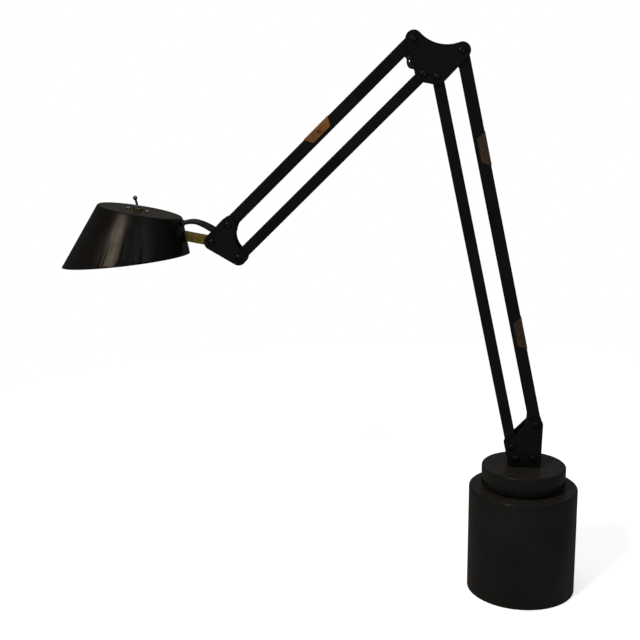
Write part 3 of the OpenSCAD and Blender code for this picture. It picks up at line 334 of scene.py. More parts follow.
class Graph:
    """One material and the nodes that vary it, all in the object's own coordinates."""

    def __init__(self, name):
        self.material = bpy.data.materials.new(name)
        self.material.use_nodes = True
        self.tree = self.material.node_tree
        self.tree.nodes.clear()
        self.output = self.add("OutputMaterial")
        self.shader = self.add("BsdfPrincipled")
        self.join(self.shader.outputs["BSDF"], self.output.inputs["Surface"])
        self.coords = self.add("TexCoord")

    def add(self, kind, **settings):
        """A new node of a kind, with its settings."""
        node = self.tree.nodes.new("ShaderNode" + kind)
        for key, value in settings.items():
            setattr(node, key, value)
        return node

    def join(self, source, target):
        """Links an output to an input."""
        self.tree.links.new(source, target)

    def set(self, **values):
        """Sets constants on the shader's own sockets; an underscore in a name stands for a space."""
        for key, value in values.items():
            socket = self.shader.inputs[key.replace("_", " ")]
            socket.default_value = (*value, 1.0) if hasattr(value, "__len__") and len(value) == 3 else value

    def noise(self, scale, detail):
        """Cloudy noise with scale features to the metre, in the object's frame."""
        node = self.add("TexNoise")
        node.inputs["Scale"].default_value = scale
        node.inputs["Detail"].default_value = detail
        self.join(self.coords.outputs["Object"], node.inputs["Vector"])
        return node.outputs["Fac"]

    def waves(self, kind, axis, scale):
        """A wave texture of a kind, bands or rings, across or round an axis."""
        node = self.add("TexWave", wave_type=kind)
        setattr(node, kind.lower() + "_direction", axis)
        node.inputs["Scale"].default_value = scale
        return node

    def remap(self, value, low, high, start=0.3, stop=0.7):
        """Value, moved from start..stop to low..high and held between them."""
        node = self.add("MapRange")
        for key, number in (("From Min", start), ("From Max", stop), ("To Min", low), ("To Max", high)):
            node.inputs[key].default_value = number
        self.join(value, node.inputs["Value"])
        return node.outputs["Result"]

    def calc(self, kind, a, b):
        """A Math node of a kind on two sockets, or a socket and a number."""
        node = self.add("Math", operation=kind)
        for place, value in enumerate((a, b)):
            if isinstance(value, (int, float)):
                node.inputs[place].default_value = value
            else:
                self.join(value, node.inputs[place])
        return node.outputs["Value"]

    def tint(self, factor, dark, light):
        """A colour between dark and light."""
        node = self.add("Mix", data_type="RGBA")
        self.join(factor, node.inputs["Factor"])
        for socket, colour in ((node.inputs["A"], dark), (node.inputs["B"], light)):
            if hasattr(colour, "default_value"):
                self.join(colour, socket)
            else:
                socket.default_value = (*colour, 1.0)
        return node.outputs["Result"]

    def colour(self, socket):
        """The surface's colour."""
        self.join(socket, self.shader.inputs["Base Color"])

    def rough(self, socket):
        """The surface's roughness."""
        self.join(socket, self.shader.inputs["Roughness"])

    def bump(self, height, strength, depth, coat=False):
        """Height as relief, at most depth metres."""
        node = self.add("Bump")
        node.inputs["Strength"].default_value = strength
        node.inputs["Distance"].default_value = depth
        self.join(height, node.inputs["Height"])
        self.join(node.outputs["Normal"], self.shader.inputs["Normal"])
        if coat:
            self.join(node.outputs["Normal"], self.shader.inputs["Coat Normal"])


def times(colour, factor):
    """Colour, lighter or darker by factor."""
    return tuple(min(1.0, channel * factor) for channel in colour)


def paint(name, colour, gloss, spread, top_dust_and_light_share):
    """Satin paint: cloudy tone, fine orange peel, and a warm lighter tone on what faces up, partly settled
    dust and partly painted light on the tops. Gloss is the strength of its clear coat, and spread is how far
    that coat spreads a highlight."""
    g = Graph(name)
    clouds = g.remap(g.noise(22.0, 4.0), 0.0, 1.0)
    base = g.tint(clouds, times(colour, 0.75), times(colour, 1.3))
    # Upward faces are mixed toward a warm grey: partly settled dust, partly painted light falling on the
    # tops
    up = g.add("SeparateXYZ")
    g.join(g.coords.outputs["Normal"], up.inputs["Vector"])
    level = g.remap(up.outputs["Z"], 0.0, 1.0, 0.8, 0.99)
    dust_and_top_light = g.calc("MULTIPLY", level, g.remap(g.noise(260.0, 7.0), 0.4 * top_dust_and_light_share, top_dust_and_light_share, 0.35, 0.7))
    g.colour(g.tint(dust_and_top_light, base, DUST_AND_TOP_LIGHT))
    g.rough(g.remap(g.noise(60.0, 5.0), 0.44, 0.60))
    g.join(g.remap(g.noise(75.0, 4.0), spread - 0.03, spread + 0.05), g.shader.inputs["Coat Roughness"])
    g.bump(g.noise(1500.0, 2.0), 0.06, 0.00006, coat=True)
    g.set(Specular_IOR_Level=0.0, Coat_Weight=gloss, Coat_IOR=1.5)
    return g.material


def metal(name, colour, roughness, spread=0.2, grain=500.0, depth=0.00003):
    """Plated or bare metal: mottled colour and polish, with a fine grain. The darker it is, the less it
    mirrors at a grazing angle, so that it gets no white rim."""
    g = Graph(name)
    mottle = g.remap(g.noise(260.0, 5.0), 0.0, 1.0)
    g.colour(g.tint(mottle, times(colour, 1.0 - spread), times(colour, 1.0 + spread)))
    g.rough(g.remap(g.noise(340.0, 4.0), roughness - 0.07, roughness + 0.09))
    g.bump(g.noise(grain, 4.0), 0.25, depth)
    g.set(Metallic=1.0, Specular_Tint=times(WHITE, 0.2 + 2.0 * colour[1]))
    return g.material


def rubber(name, colour, roughness):
    """Rubber or soft plastic: matt, with a fine skin and a slight bloom."""
    g = Graph(name)
    bloom = g.remap(g.noise(90.0, 5.0), 0.0, 1.0)
    g.colour(g.tint(bloom, times(colour, 0.8), times(colour, 1.35)))
    g.rough(g.remap(g.noise(220.0, 3.0), roughness - 0.06, roughness + 0.08))
    g.bump(g.noise(2600.0, 3.0), 0.15, 0.00004)
    g.set(Specular_IOR_Level=0.0, Coat_Weight=0.05, Coat_Roughness=roughness - 0.15)
    return g.material


def ceramic(name, colour, roughness=0.45):
    """Ceramic or moulded insulator: pale, with faint pores."""
    g = Graph(name)
    g.colour(g.tint(g.remap(g.noise(180.0, 5.0), 0.0, 1.0), times(colour, 0.9), times(colour, 1.06)))
    g.rough(g.remap(g.noise(300.0, 4.0), roughness - 0.08, roughness + 0.1))
    g.bump(g.noise(1700.0, 5.0), 0.2, 0.00005)
    return g.material


def sheet_finish(name, colour):
    """The saddles' lacquered sheet: mottled, stained darker in places, dull."""
    g = Graph(name)
    mottle = g.remap(g.noise(120.0, 5.0), 0.0, 1.0)
    stains = g.remap(g.noise(45.0, 6.0), 0.0, 1.0, 0.38, 0.62)
    base = g.tint(mottle, times(colour, 0.7), times(colour, 1.25))
    g.colour(g.tint(g.calc("MULTIPLY", stains, 0.35), base, times(colour, 0.35)))
    g.rough(g.remap(g.noise(500.0, 4.0), 0.42, 0.62))
    g.bump(g.noise(1300.0, 3.0), 0.15, 0.00004)
    g.set(Specular_IOR_Level=0.04)
    return g.material


def spun(name, colour, roughness, centre):
    """Spun sheet metal: faint rings round the shade's axis, which passes through centre."""
    g = Graph(name)
    place = g.add("Mapping", vector_type="TEXTURE")
    place.inputs["Location"].default_value = centre
    place.inputs["Rotation"].default_value = HEAD.to_euler()
    g.join(g.coords.outputs["Object"], place.inputs["Vector"])
    rings = g.waves("RINGS", "Z", 70.0)
    rings.inputs["Distortion"].default_value = 1.5
    rings.inputs["Detail"].default_value = 3.0
    g.join(place.outputs["Vector"], rings.inputs["Vector"])
    g.colour(g.tint(g.remap(g.noise(90.0, 5.0), 0.0, 1.0), times(colour, 0.85), times(colour, 1.1)))
    g.rough(g.remap(rings.outputs["Fac"], roughness - 0.06, roughness + 0.08, 0.0, 1.0))
    g.bump(rings.outputs["Fac"], 0.12, 0.00005)
    g.set(Metallic=1.0)
    return g.material


def winding_wire(name, colour):
    """Enamelled wire in level layers: rows round the core and a warm, uneven varnish."""
    g = Graph(name)
    rows = g.waves("BANDS", "Z", 190.0)
    rows.inputs["Distortion"].default_value = 0.4
    g.join(g.coords.outputs["Object"], rows.inputs["Vector"])
    g.colour(g.tint(g.remap(g.noise(80.0, 4.0), 0.0, 1.0), times(colour, 0.7), times(colour, 1.2)))
    g.rough(g.remap(rows.outputs["Fac"], 0.3, 0.5, 0.0, 1.0))
    g.bump(rows.outputs["Fac"], 0.9, 0.0004)
    g.set(Metallic=0.7)
    return g.material


def laminations(name, colour):
    """Stacked core plates: thin dark and light lines across the stack."""
    g = Graph(name)
    rows = g.waves("BANDS", "Y", 320.0)
    g.join(g.coords.outputs["Object"], rows.inputs["Vector"])
    g.colour(g.tint(rows.outputs["Fac"], times(colour, 0.5), times(colour, 1.2)))
    g.rough(g.remap(g.noise(150.0, 4.0), 0.4, 0.6))
    g.bump(rows.outputs["Fac"], 0.6, 0.0002)
    g.set(Metallic=0.8)
    return g.material


def glass(name):
    """Clear quartz glass, faintly wavy."""
    g = Graph(name)
    g.colour(g.tint(g.remap(g.noise(120.0, 2.0), 0.0, 1.0), (0.97, 0.98, 0.99), WHITE))
    g.rough(g.remap(g.noise(200.0, 2.0), 0.0, 0.03))
    g.bump(g.noise(240.0, 2.0), 0.05, 0.0002)
    g.set(Transmission_Weight=1.0, IOR=1.46)
    return g.material


def skin(bm, rings, loop=False):
    """Joins rings of points, one to the next, into one closed surface. A ring of one point is a pole. With
    loop, the last ring joins the first, and otherwise each end is closed by a face."""
    rows = [[bm.verts.new(point) for point in ring] for ring in rings]
    for low, high in zip(rows, rows[1:] + (rows[:1] if loop else [])):
        count = max(len(low), len(high))
        for i in range(count if count > 1 else 0):
            j = (i + 1) % count
            corners = (low[i % len(low)], low[j % len(low)], high[j % len(high)], high[i % len(high)])
            bm.faces.new(list(dict.fromkeys(corners)))
    if not loop:
        for end in (rows[0], rows[-1]):
            if len(end) > 2:
                bm.faces.new(end)


def turned(bm, rows, place, around=48, loop=False):
    """A turned solid round place's z axis. Each row is (radius, height) or (radius, height, flats), where
    flats is the width of a hexagon that the row is cut to."""
    rings = []
    for radius, height, *flats in rows:
        if radius == 0:
            rings.append([place @ Vector((0, 0, height))])
            continue
        ring = []
        for i in range(around):
            angle = 2 * math.pi * i / around
            reach = radius
            if flats:
                reach = min(radius, flats[0] / 2 / math.cos(angle % (math.pi / 3) - math.pi / 6))
            ring.append(place @ Vector((reach * math.cos(angle), reach * math.sin(angle), height)))
        rings.append(ring)
    skin(bm, rings, loop)


def arc_rows(radius, height, start, stop, steps):
    """Rows of a turned solid along an arc about (0, height), from start to stop degrees above level."""
    angles = [math.radians(start + (stop - start) * k / steps) for k in range(steps + 1)]
    return [(radius * math.cos(a), height + radius * math.sin(a)) for a in angles]


def curve_through(points, step):
    """A smooth line through points, with one point about every step."""
    line = []
    ends = [2 * points[0] - points[1], *points, 2 * points[-1] - points[-2]]
    for a, b, c, d in zip(ends, ends[1:], ends[2:], ends[3:]):
        count = max(1, round((c - b).length / step))
        square = 2 * a - 5 * b + 4 * c - d
        cube = 3 * b - a - 3 * c + d
        for i in range(count):
            t = i / count
            line.append(0.5 * (2 * b + (c - a) * t + square * t**2 + cube * t**3))
    line.append(points[-1].copy())
    return line


def swept(bm, line, radius, sides):
    """A round rod along line. radius is a number, or a function of the share of the way along."""
    last = len(line) - 1
    heading = [(line[min(i + 1, last)] - line[max(i - 1, 0)]).normalized() for i in range(last + 1)]
    side = heading[0].orthogonal().normalized()
    rings = []
    for i, point in enumerate(line):
        side = (side - side.project(heading[i])).normalized()
        other = heading[i].cross(side)
        reach = radius(i / last) if callable(radius) else radius
        angles = [2 * math.pi * k / sides for k in range(sides)]
        rings.append([point + reach * (math.cos(a) * side + math.sin(a) * other) for a in angles])
    skin(bm, rings)


def make(name, bm, material, body=None, nodes=(), sharp=32.0):
    """Turns a mesh in millimetres into a piece of the lamp. It is smooth but for the edges that turn by more
    than sharp degrees. It rides a body and replaces nodes, where these are given."""
    bmesh.ops.recalc_face_normals(bm, faces=bm.faces)
    bm.transform(Matrix.Scale(MM, 4))
    mesh = bpy.data.meshes.new(name)
    bm.to_mesh(mesh)
    bm.free()
    mesh.polygons.foreach_set("use_smooth", [True] * len(mesh.polygons))
    mesh.set_sharp_from_angle(angle=math.radians(sharp))
    mesh.materials.append(material)
    obj = bpy.data.objects.new(name, mesh)
    bpy.context.scene.collection.objects.link(obj)
    if body:
        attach(obj, body)
    if nodes:
        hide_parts(*nodes)
    return obj


def dress(material, *names, edge=0.0):
    """Gives packed nodes a material and, with modifiers alone, softened edges."""
    for name in names:
        obj = NODES[name]
        for place in range(len(obj.data.materials)):
            obj.data.materials[place] = material
        if edge > 0:
            weld = obj.modifiers.new("Weld", "WELD")
            weld.merge_threshold = 0.002 * MM
            flatten = obj.modifiers.new("Flatten", "DECIMATE")
            flatten.decimate_type = "DISSOLVE"
            flatten.angle_limit = math.radians(0.4)
            soften = obj.modifiers.new("Soften", "BEVEL")
            soften.width = edge
            soften.segments = 2
            soften.limit_method = "ANGLE"
            soften.angle_limit = math.radians(35.0)
            soften.harden_normals = True


def along_y(pivot, y, toward=-1, turn=0.0):
    """A frame on the XZ plane's pivot at y, its z toward -Y or +Y, turned about that axis."""
    place = Matrix.Translation(Vector((pivot[0], y, pivot[1])))
    return place @ Matrix.Rotation(math.radians(-90.0 * toward), 4, "X") @ Matrix.Rotation(turn, 4, "Z")


def bolt_and_nut(bm, pivot, shank_r, socket, nut_flats, turns):
    """A button-head bolt through both cheeks, its thread's end and a locknut, each turned by chance."""
    nut_h = shank_r * 1.6
    chamfer = 0.4
    far = -2 * CHEEK_OUT - nut_h - 0.6
    thread = [
        (shank_r - (THREAD_DEPTH if i % 2 else 0.0), far + chamfer + THREAD_PITCH * i)
        for i in range(int((nut_h + 0.2) / THREAD_PITCH))
    ]
    rim = BUTTON_H * 0.4
    dome_r = (BUTTON_R**2 + (BUTTON_H - rim) ** 2) / (2 * (BUTTON_H - rim))
    dome = [
        (r, math.sqrt(dome_r**2 - r**2) - dome_r + BUTTON_H) for r in (3.5, 3.2, 2.8, 2.3, 1.85, 1.6)
    ]
    mouth, floor = BUTTON_H - 0.34, 0.75
    turned(
        bm,
        [(0, far), (shank_r - chamfer, far), *thread, (shank_r, -2 * CHEEK_OUT), (shank_r, 0.0)]
        + [(BUTTON_R - 0.18, 0.0), (BUTTON_R, 0.18), (BUTTON_R, rim - 0.1), *dome]
        + [(1.48, BUTTON_H - 0.22), (1.42, mouth, socket), (1.42, floor, socket), (0.5, 0.45), (0, 0.4)],
        along_y(pivot, -CHEEK_OUT, turn=turns.uniform(0, math.pi / 3)),
    )
    wide = nut_flats / 2 / math.cos(math.pi / 6)
    collar = nut_flats / 2 - 0.35
    bore = shank_r + 0.05
    turned(
        bm,
        [(bore, 0.0), (nut_flats / 2, 0.0), (wide, 0.32, nut_flats), (wide, nut_h * 0.66, nut_flats)]
        + [(nut_flats / 2, nut_h * 0.75), (collar, nut_h * 0.77), (collar, nut_h - 0.3)]
        + [(collar - 0.3, nut_h), (bore, nut_h)],
        along_y(pivot, CHEEK_OUT, toward=1, turn=turns.uniform(0, math.pi / 3)),
        loop=True,
    )


def lamp(name, place, target, size, power, colour):
    """A soft oval lamp at place, turned toward target, that the camera doesn't see."""
    light = bpy.data.lights.new(name, "AREA")
    light.shape = "ELLIPSE"
    light.size, light.size_y = size
    light.energy = power
    light.color = colour
    obj = bpy.data.objects.new(name, light)
    bpy.context.scene.collection.objects.link(obj)
    obj.location = place
    obj.rotation_euler = (Vector(target) - Vector(place)).to_track_quat("-Z", "Y").to_euler()
    obj.visible_camera = False


def seen_rays(add, join):
    """A socket that is 1 for rays that show the background: from the camera, in gloss and through glass."""
    path = add("LightPath")
    both = add("Math", operation="MAXIMUM")
    join(path.outputs["Is Camera Ray"], both.inputs[0])
    join(path.outputs["Is Glossy Ray"], both.inputs[1])
    every = add("Math", operation="MAXIMUM")
    join(both.outputs["Value"], every.inputs[0])
    join(path.outputs["Is Transmission Ray"], every.inputs[1])
    return every.outputs["Value"]


class DESKLAMP_OT_studio(bpy.types.Operator):
    """Set the camera, the soft lamps, the pale floor and the white room"""

    bl_idname = "desk_lamp.studio"
    bl_label = "Studio"

    def execute(self, context):
        scene = context.scene
        studio = scene.desk_lamp_studio
        camera = bpy.data.cameras.new("camera")
        camera.sensor_width = SENSOR
        camera.lens = LENS
        eye = bpy.data.objects.new("camera", camera)
        scene.collection.objects.link(eye)
        forward = EYE_FORWARD.normalized()
        up = EYE_RIGHT.cross(forward).normalized()
        turn = Matrix((EYE_RIGHT, up, -forward)).transposed().to_4x4()
        eye.matrix_world = Matrix.Translation(EYE) @ turn
        scene.camera = eye

        middle = (-0.20, 0.0, 0.30)
        lamp("key", (-1.02, -1.26, 1.30), middle, (0.54, 0.38), studio.key, (1.0, 0.82, 0.63))
        lamp("fill", (0.52, -1.30, 1.08), middle, (1.2, 0.6), studio.fill, (0.74, 0.88, 1.0))
        lamp("top", (-0.15, 0.25, 2.1), middle, (1.6, 1.6), studio.top, WHITE)

        world = bpy.data.worlds.new("room")
        world.use_nodes = True
        tree = world.node_tree
        tree.nodes.clear()

        def add(kind, **settings):
            node = tree.nodes.new("ShaderNode" + kind)
            for key, value in settings.items():
                setattr(node, key, value)
            return node

        join = tree.links.new
        dim, white, both = add("Background"), add("Background"), add("MixShader")
        for light, strength in ((dim, studio.room), (white, 1.0)):
            light.inputs["Color"].default_value = (*WHITE, 1.0)
            light.inputs["Strength"].default_value = strength
        join(seen_rays(add, join), both.inputs["Fac"])
        join(dim.outputs["Background"], both.inputs[1])
        join(white.outputs["Background"], both.inputs[2])
        join(both.outputs["Shader"], add("OutputWorld").inputs["Surface"])
        scene.world = world
        scene.view_settings.view_transform = "Standard"

        bm = bmesh.new()
        bmesh.ops.create_circle(bm, cap_ends=True, radius=9000.0, segments=96)
        g = Graph("studio_floor")
        seen = seen_rays(g.add, g.join)
        speckle = g.remap(g.noise(3.0, 4.0), 0.0, 1.0)
        plain = g.tint(speckle, times(studio.floor, 0.985), studio.floor)
        g.colour(g.tint(seen, plain, WHITE))
        g.set(Roughness=0.9, Specular_IOR_Level=0.0)
        # The floor goes over into the plain white background between 0.45 and 1.1 m from the drum's axis
        away = g.add("VectorMath", operation="LENGTH")
        g.join(g.coords.outputs["Object"], away.inputs[0])
        far = g.remap(away.outputs["Value"], 0.55, 1.0, 0.45, 1.1)
        glow, mix = g.add("Emission"), g.add("MixShader")
        g.join(g.calc("MULTIPLY", seen, far), mix.inputs["Fac"])
        g.join(g.shader.outputs["BSDF"], mix.inputs[1])
        g.join(glow.outputs["Emission"], mix.inputs[2])
        g.join(mix.outputs["Shader"], g.output.inputs["Surface"])
        make("floor", bm, g.material)
        return {"FINISHED"}


class DESKLAMP_OT_drum(bpy.types.Operator):
    """Finish the drum, the turntable and what shows under them"""

    bl_idname = "desk_lamp.drum"
    bl_label = "Drum and turntable"

    def execute(self, context):
        finishes, sizes = context.scene.desk_lamp_finishes, context.scene.desk_lamp_hardware
        body = paint("drum_paint", finishes.paint, finishes.gloss, 0.26, 0.03)
        dress(body, "base_shell", "turntable", edge=sizes.plate_edge * 1.4)
        dress(rubber("foot_rubber", (0.012, 0.012, 0.012), 0.75), "foot_pad", edge=sizes.fine_edge)
        dress(rubber("inlet_rubber", (0.010, 0.010, 0.010), 0.6), "inlet_grommet", edge=sizes.fine_edge)
        plated = metal("plated_steel", (0.52, 0.52, 0.50), 0.34)
        dress(plated, "base_plate", "tie_rods", "spindle", "spindle_nut", "stop_pin", edge=sizes.fine_edge)
        dress(ceramic("bush_plastic", (0.72, 0.70, 0.62), 0.5), "swivel_bush", edge=sizes.fine_edge)
        return {"FINISHED"}


class DESKLAMP_OT_inside(bpy.types.Operator):
    """Finish the ballast, the transformer and the terminal block inside the drum"""

    bl_idname = "desk_lamp.inside"
    bl_label = "Inside the drum"

    def execute(self, context):
        sizes = context.scene.desk_lamp_hardware
        dress(metal("cast_iron", (0.09, 0.088, 0.085), 0.7, 0.3, grain=700.0, depth=0.0003), "ballast")
        dress(laminations("core_plates", (0.30, 0.30, 0.31)), "transformer_core")
        dress(winding_wire("copper_winding", (0.50, 0.21, 0.09)), "transformer_winding")
        dress(ceramic("terminal_plastic", (0.74, 0.70, 0.58)), "terminal_block", edge=sizes.fine_edge)
        return {"FINISHED"}


class DESKLAMP_OT_brackets(bpy.types.Operator):
    """Finish the six bracket plates, the block between the lower pair, the washers and the cranks"""

    bl_idname = "desk_lamp.brackets"
    bl_label = "Brackets"

    def execute(self, context):
        finishes, sizes = context.scene.desk_lamp_finishes, context.scene.desk_lamp_hardware
        plate = paint("plate_paint", times(finishes.paint, 0.55), finishes.gloss * 0.6, 0.34, 0.02)
        for place in ("base", "elbow", "head"):
            dress(plate, place + "_cheek_front", place + "_cheek_back", edge=sizes.plate_edge)
        dress(plate, "bracket_foot", edge=sizes.fine_edge)
        washer = metal("washer_steel", (0.08, 0.078, 0.075), 0.38)
        dress(washer, "base_washers", "elbow_washers", "head_washers", edge=sizes.fine_edge * 0.6)
        dress(washer, "base_crank", "elbow_cranks", edge=sizes.fine_edge)
        return {"FINISHED"}


class DESKLAMP_OT_bars(bpy.types.Operator):
    """Finish the four bars, the inner bars' bushes and the three saddles with their pins"""

    bl_idname = "desk_lamp.bars"
    bl_label = "Bars and saddles"

    def execute(self, context):
        finishes, sizes = context.scene.desk_lamp_finishes, context.scene.desk_lamp_hardware
        body = paint("bar_paint", times(finishes.paint, 0.6), finishes.gloss * 0.65, 0.30, 0.03)
        bars = [f"{arm}_{side}_bar" for arm in ("lower", "upper") for side in ("outer", "inner")]
        dress(body, *bars, edge=sizes.fine_edge)
        bronze = metal("bush_bronze", (0.42, 0.24, 0.11), 0.36)
        dress(bronze, "lower_inner_bushes", "upper_inner_bushes", edge=sizes.fine_edge)
        upper_sheet = sheet_finish("upper_sheet", finishes.upper_saddle)
        dress(upper_sheet, "upper_saddle", edge=sizes.fine_edge * 0.7)
        # The lower saddles' sheet, far darker than the upper one as painted shade on the lower arm
        shaded_lower_sheet = sheet_finish("shaded_lower_sheet", finishes.lower_saddles)
        dress(shaded_lower_sheet, "lower_saddles", edge=sizes.fine_edge * 0.7)
        pin = metal("pin_steel", (0.020, 0.018, 0.016), 0.45)
        dress(pin, "lower_saddle_pins", "upper_saddle_pin", edge=sizes.fine_edge)
        return {"FINISHED"}


class DESKLAMP_OT_bolts(bpy.types.Operator):
    """Make the pivot bolts and foot screws with their sockets, threads and locknuts"""

    bl_idname = "desk_lamp.bolts"
    bl_label = "Bolts"

    def execute(self, context):
        finishes, sizes = context.scene.desk_lamp_finishes, context.scene.desk_lamp_hardware
        black = metal("blackened_steel", times(finishes.fastener, 0.7), 0.38, 0.25, grain=900.0)
        turns = random.Random(4)
        socket, flats = sizes.socket / MM, sizes.nut / MM
        sets = (
            ("base_pivot_bolts", "turret", (R2, R4)),
            ("elbow_pivot_bolts", "elbow", (P1, P2, P3, P4)),
            ("head_pivot_bolts", "head_bracket", (Q0, Q1, Q3)),
        )
        for node, body, pivots in sets:
            bm = bmesh.new()
            for pivot in pivots:
                bolt_and_nut(bm, pivot, BOLT_R, socket, flats, turns)
            make(node + "_detailed", bm, black, body, (node,))
        bm = bmesh.new()
        for side in (-1, 1):
            place = (side * FOOT_SCREW_X, CAP_TOP + FOOT_SCREW_UP)
            bolt_and_nut(bm, place, SCREW_R, socket, flats * SCREW_R / BOLT_R, turns)
        make("foot_screws_detailed", bm, black, "turret", ("foot_screws",))
        return {"FINISHED"}


class DESKLAMP_OT_springs(bpy.types.Operator):
    """Wind the three springs inside the outer bars, from each saddle's pin to its crank"""

    bl_idname = "desk_lamp.springs"
    bl_label = "Springs"

    def execute(self, context):
        wire = metal("spring_steel", (0.24, 0.24, 0.25), 0.3)
        pitch = context.scene.desk_lamp_hardware.spring_pitch / MM
        loop_r = PIN_R + WIRE_R + 0.15
        sets = (
            ("lower_spring_foot", "lower_outer", "turret", R2, LOWER_ANGLE, LOWER_PIN_X, 90.0, 1),
            ("lower_spring_top", "lower_outer", "elbow", P2, LOWER_ANGLE + 180, LOWER_PIN_X, 270.0, -1),
            ("upper_spring", "upper_outer", "elbow", P1, UPPER_ANGLE, UPPER_PIN_X, 90.0, 1),
        )
        for node, bar, bracket, pivot, angle, pin_x, eye, side in sets:
            near, far = pin_x - 7.0, pin_x * 0.48
            pin = Vector((pin_x, SPRING_Y, -side * PIN_Z))
            start = Vector((far, SPRING_Y, -side * COIL_Z))
            turn = math.radians(eye - angle)
            hook = Vector((CRANK_R * math.cos(turn), SPRING_Y, CRANK_R * math.sin(turn)))
            through_eye = Vector((hook.x, CRANK_LOW_Y - 0.4, hook.z))
            line = [
                pin + loop_r * Vector((-math.cos(t), 0, math.sin(t)))
                for t in [math.radians(330 - 30 * k) for k in range(12)]
            ]
            steps = round((near - far) / pitch) * COIL_POINTS
            for k in range(steps + 1):
                t = 2 * math.pi * k / COIL_POINTS
                middle = Vector((near - (near - far) * k / steps, start.y, start.z))
                line.append(middle + COIL_R * Vector((0, math.cos(t), math.sin(t))))
            line += [start.lerp(hook, t) for t in (0.06, 0.3, 0.6, 0.9)]
            line += curve_through([hook, hook + Vector((0, -0.7, 0)), through_eye], 0.4)
            bm = bmesh.new()
            swept(bm, [in_bar(pivot, angle, v) for v in line], WIRE_R, 8)
            obj = make(node + "_wound", bm, wire, nodes=(node,))
            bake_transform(obj)
        return {"FINISHED"}


class DESKLAMP_OT_lead(bpy.types.Operator):
    """Run the lead from the drum through both arms to the shade"""

    bl_idname = "desk_lamp.lead"
    bl_label = "Lead"

    def execute(self, context):
        finishes, sizes = context.scene.desk_lamp_finishes, context.scene.desk_lamp_lead
        skin_black = rubber("lead_rubber", finishes.lead, 0.50)
        boot_black = rubber("boot_rubber", times(finishes.lead, 1.3), 0.48)
        radius = sizes.diameter / 2 / MM

        def run(name, route, node, bodies, thick=radius):
            """One piece of the lead, on one body; where two bodies are given, it rides neither."""
            bm = bmesh.new()
            line = curve_through(route, LEAD_STEP)
            swept(bm, line, thick, sizes.sides)
            body = bodies if isinstance(bodies, str) else None
            obj = make(name, bm, skin_black, body, (node,))
            if body is None:
                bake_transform(obj)
            return obj, line

        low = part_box("lead_base")[0].z / MM
        run("lead_base_run", [Vector((0, 0, low)), FOOT_ROUTE[0]], "lead_base", "base")
        run(
            "lead_foot_run", FOOT_ROUTE, "lead_foot", ("turret", "lower_outer"),
        )
        straight = lead_in_bar(R2, LOWER_ANGLE, LEAD_FROM_FOOT, LOWER_LEN - LEAD_TO_ELBOW)
        run("lead_lower_run", straight, "lead_lower", "lower_outer")
        bend = curve_through(ELBOW_ROUTE, LEAD_STEP)
        middle = min(range(len(bend)), key=lambda i: (bend[i] - ELBOW_ROUTE[5]).length)
        run(
            "lead_elbow_start", bend[: middle + 1], "lead_elbow", ("upper_outer", "elbow"),
        )
        run(
            "lead_elbow_run", bend[middle:], "lead_elbow", ("elbow", "lower_outer"),
        )
        wall = sizes.boot_wall / MM

        def moulded(t):
            """The boot's radius: fullest at its middle, with grooves round it there."""
            groove = 0.28 if 0.3 < t < 0.75 and (t * 40) % 2 < 0.9 else 0.0
            return radius + wall * (1 + math.sin(math.pi * t)) - groove

        bm = bmesh.new()
        swept(bm, curve_through(BOOT, 0.35), moulded, sizes.sides)
        make("lead_boot", bm, boot_black, "upper_outer", ("lead_upper",), 60.0)
        bm = bmesh.new()
        waist = (BOOT[7] + BOOT[8]) / 2
        place = along_y((waist.x, waist.z), waist.y - radius - 1.5 * wall)
        rows = [(0, -1.0), (0.8, -1.0), (0.8, 0.1), (0.72, 0.3), (0.5, 0.46), (0.25, 0.53), (0, 0.55)]
        turned(bm, rows, place, 24)
        bright = metal("rivet_steel", (0.55, 0.54, 0.52), 0.22)
        make("boot_rivet", bm, bright, "upper_outer")
        straight = lead_in_bar(P1, UPPER_ANGLE, LEAD_FROM_BOOT, UPPER_LEN - LEAD_TO_WRIST)
        run("lead_upper_run", straight, "lead_upper", "upper_outer")
        run(
            "lead_wrist_run", WRIST_ROUTE, "lead_wrist", ("head_bracket", "upper_outer"),
        )

        def sleeved(t):
            """The lead's radius: it swells into a sleeve before the head bracket."""
            swell = max(0.0, min(1.0, (t - 0.55) / 0.25)) * max(0.0, min(1.0, (0.99 - t) / 0.06))
            return radius + SLEEVE * swell

        arc, line = run(
            "lead_arc_run", ARC_ROUTE, "lead_arc", ("head", "head_bracket"),
            sleeved,
        )
        return {"FINISHED"}


class DESKLAMP_OT_shade(bpy.types.Operator):
    """Finish the shade, its link, its grommet and the two screws in its top"""

    bl_idname = "desk_lamp.shade"
    bl_label = "Shade"

    def execute(self, context):
        finishes, sizes = context.scene.desk_lamp_finishes, context.scene.desk_lamp_hardware
        enamel = paint("shade_enamel", finishes.shade_paint, finishes.shade_gloss, 0.30, 0.05)
        dress(enamel, "shade", edge=sizes.fine_edge)
        gold = metal("yellow_plating", finishes.link, 0.40, 0.35, grain=700.0)
        dress(gold, "head_link", edge=sizes.fine_edge * 1.5)
        dress(rubber("grommet_rubber", (0.008, 0.008, 0.008), 0.6), "shade_grommet", edge=sizes.fine_edge)
        dress(metal("screw_steel", (0.075, 0.072, 0.066), 0.30), "top_screws", edge=sizes.fine_edge * 0.6)
        return {"FINISHED"}


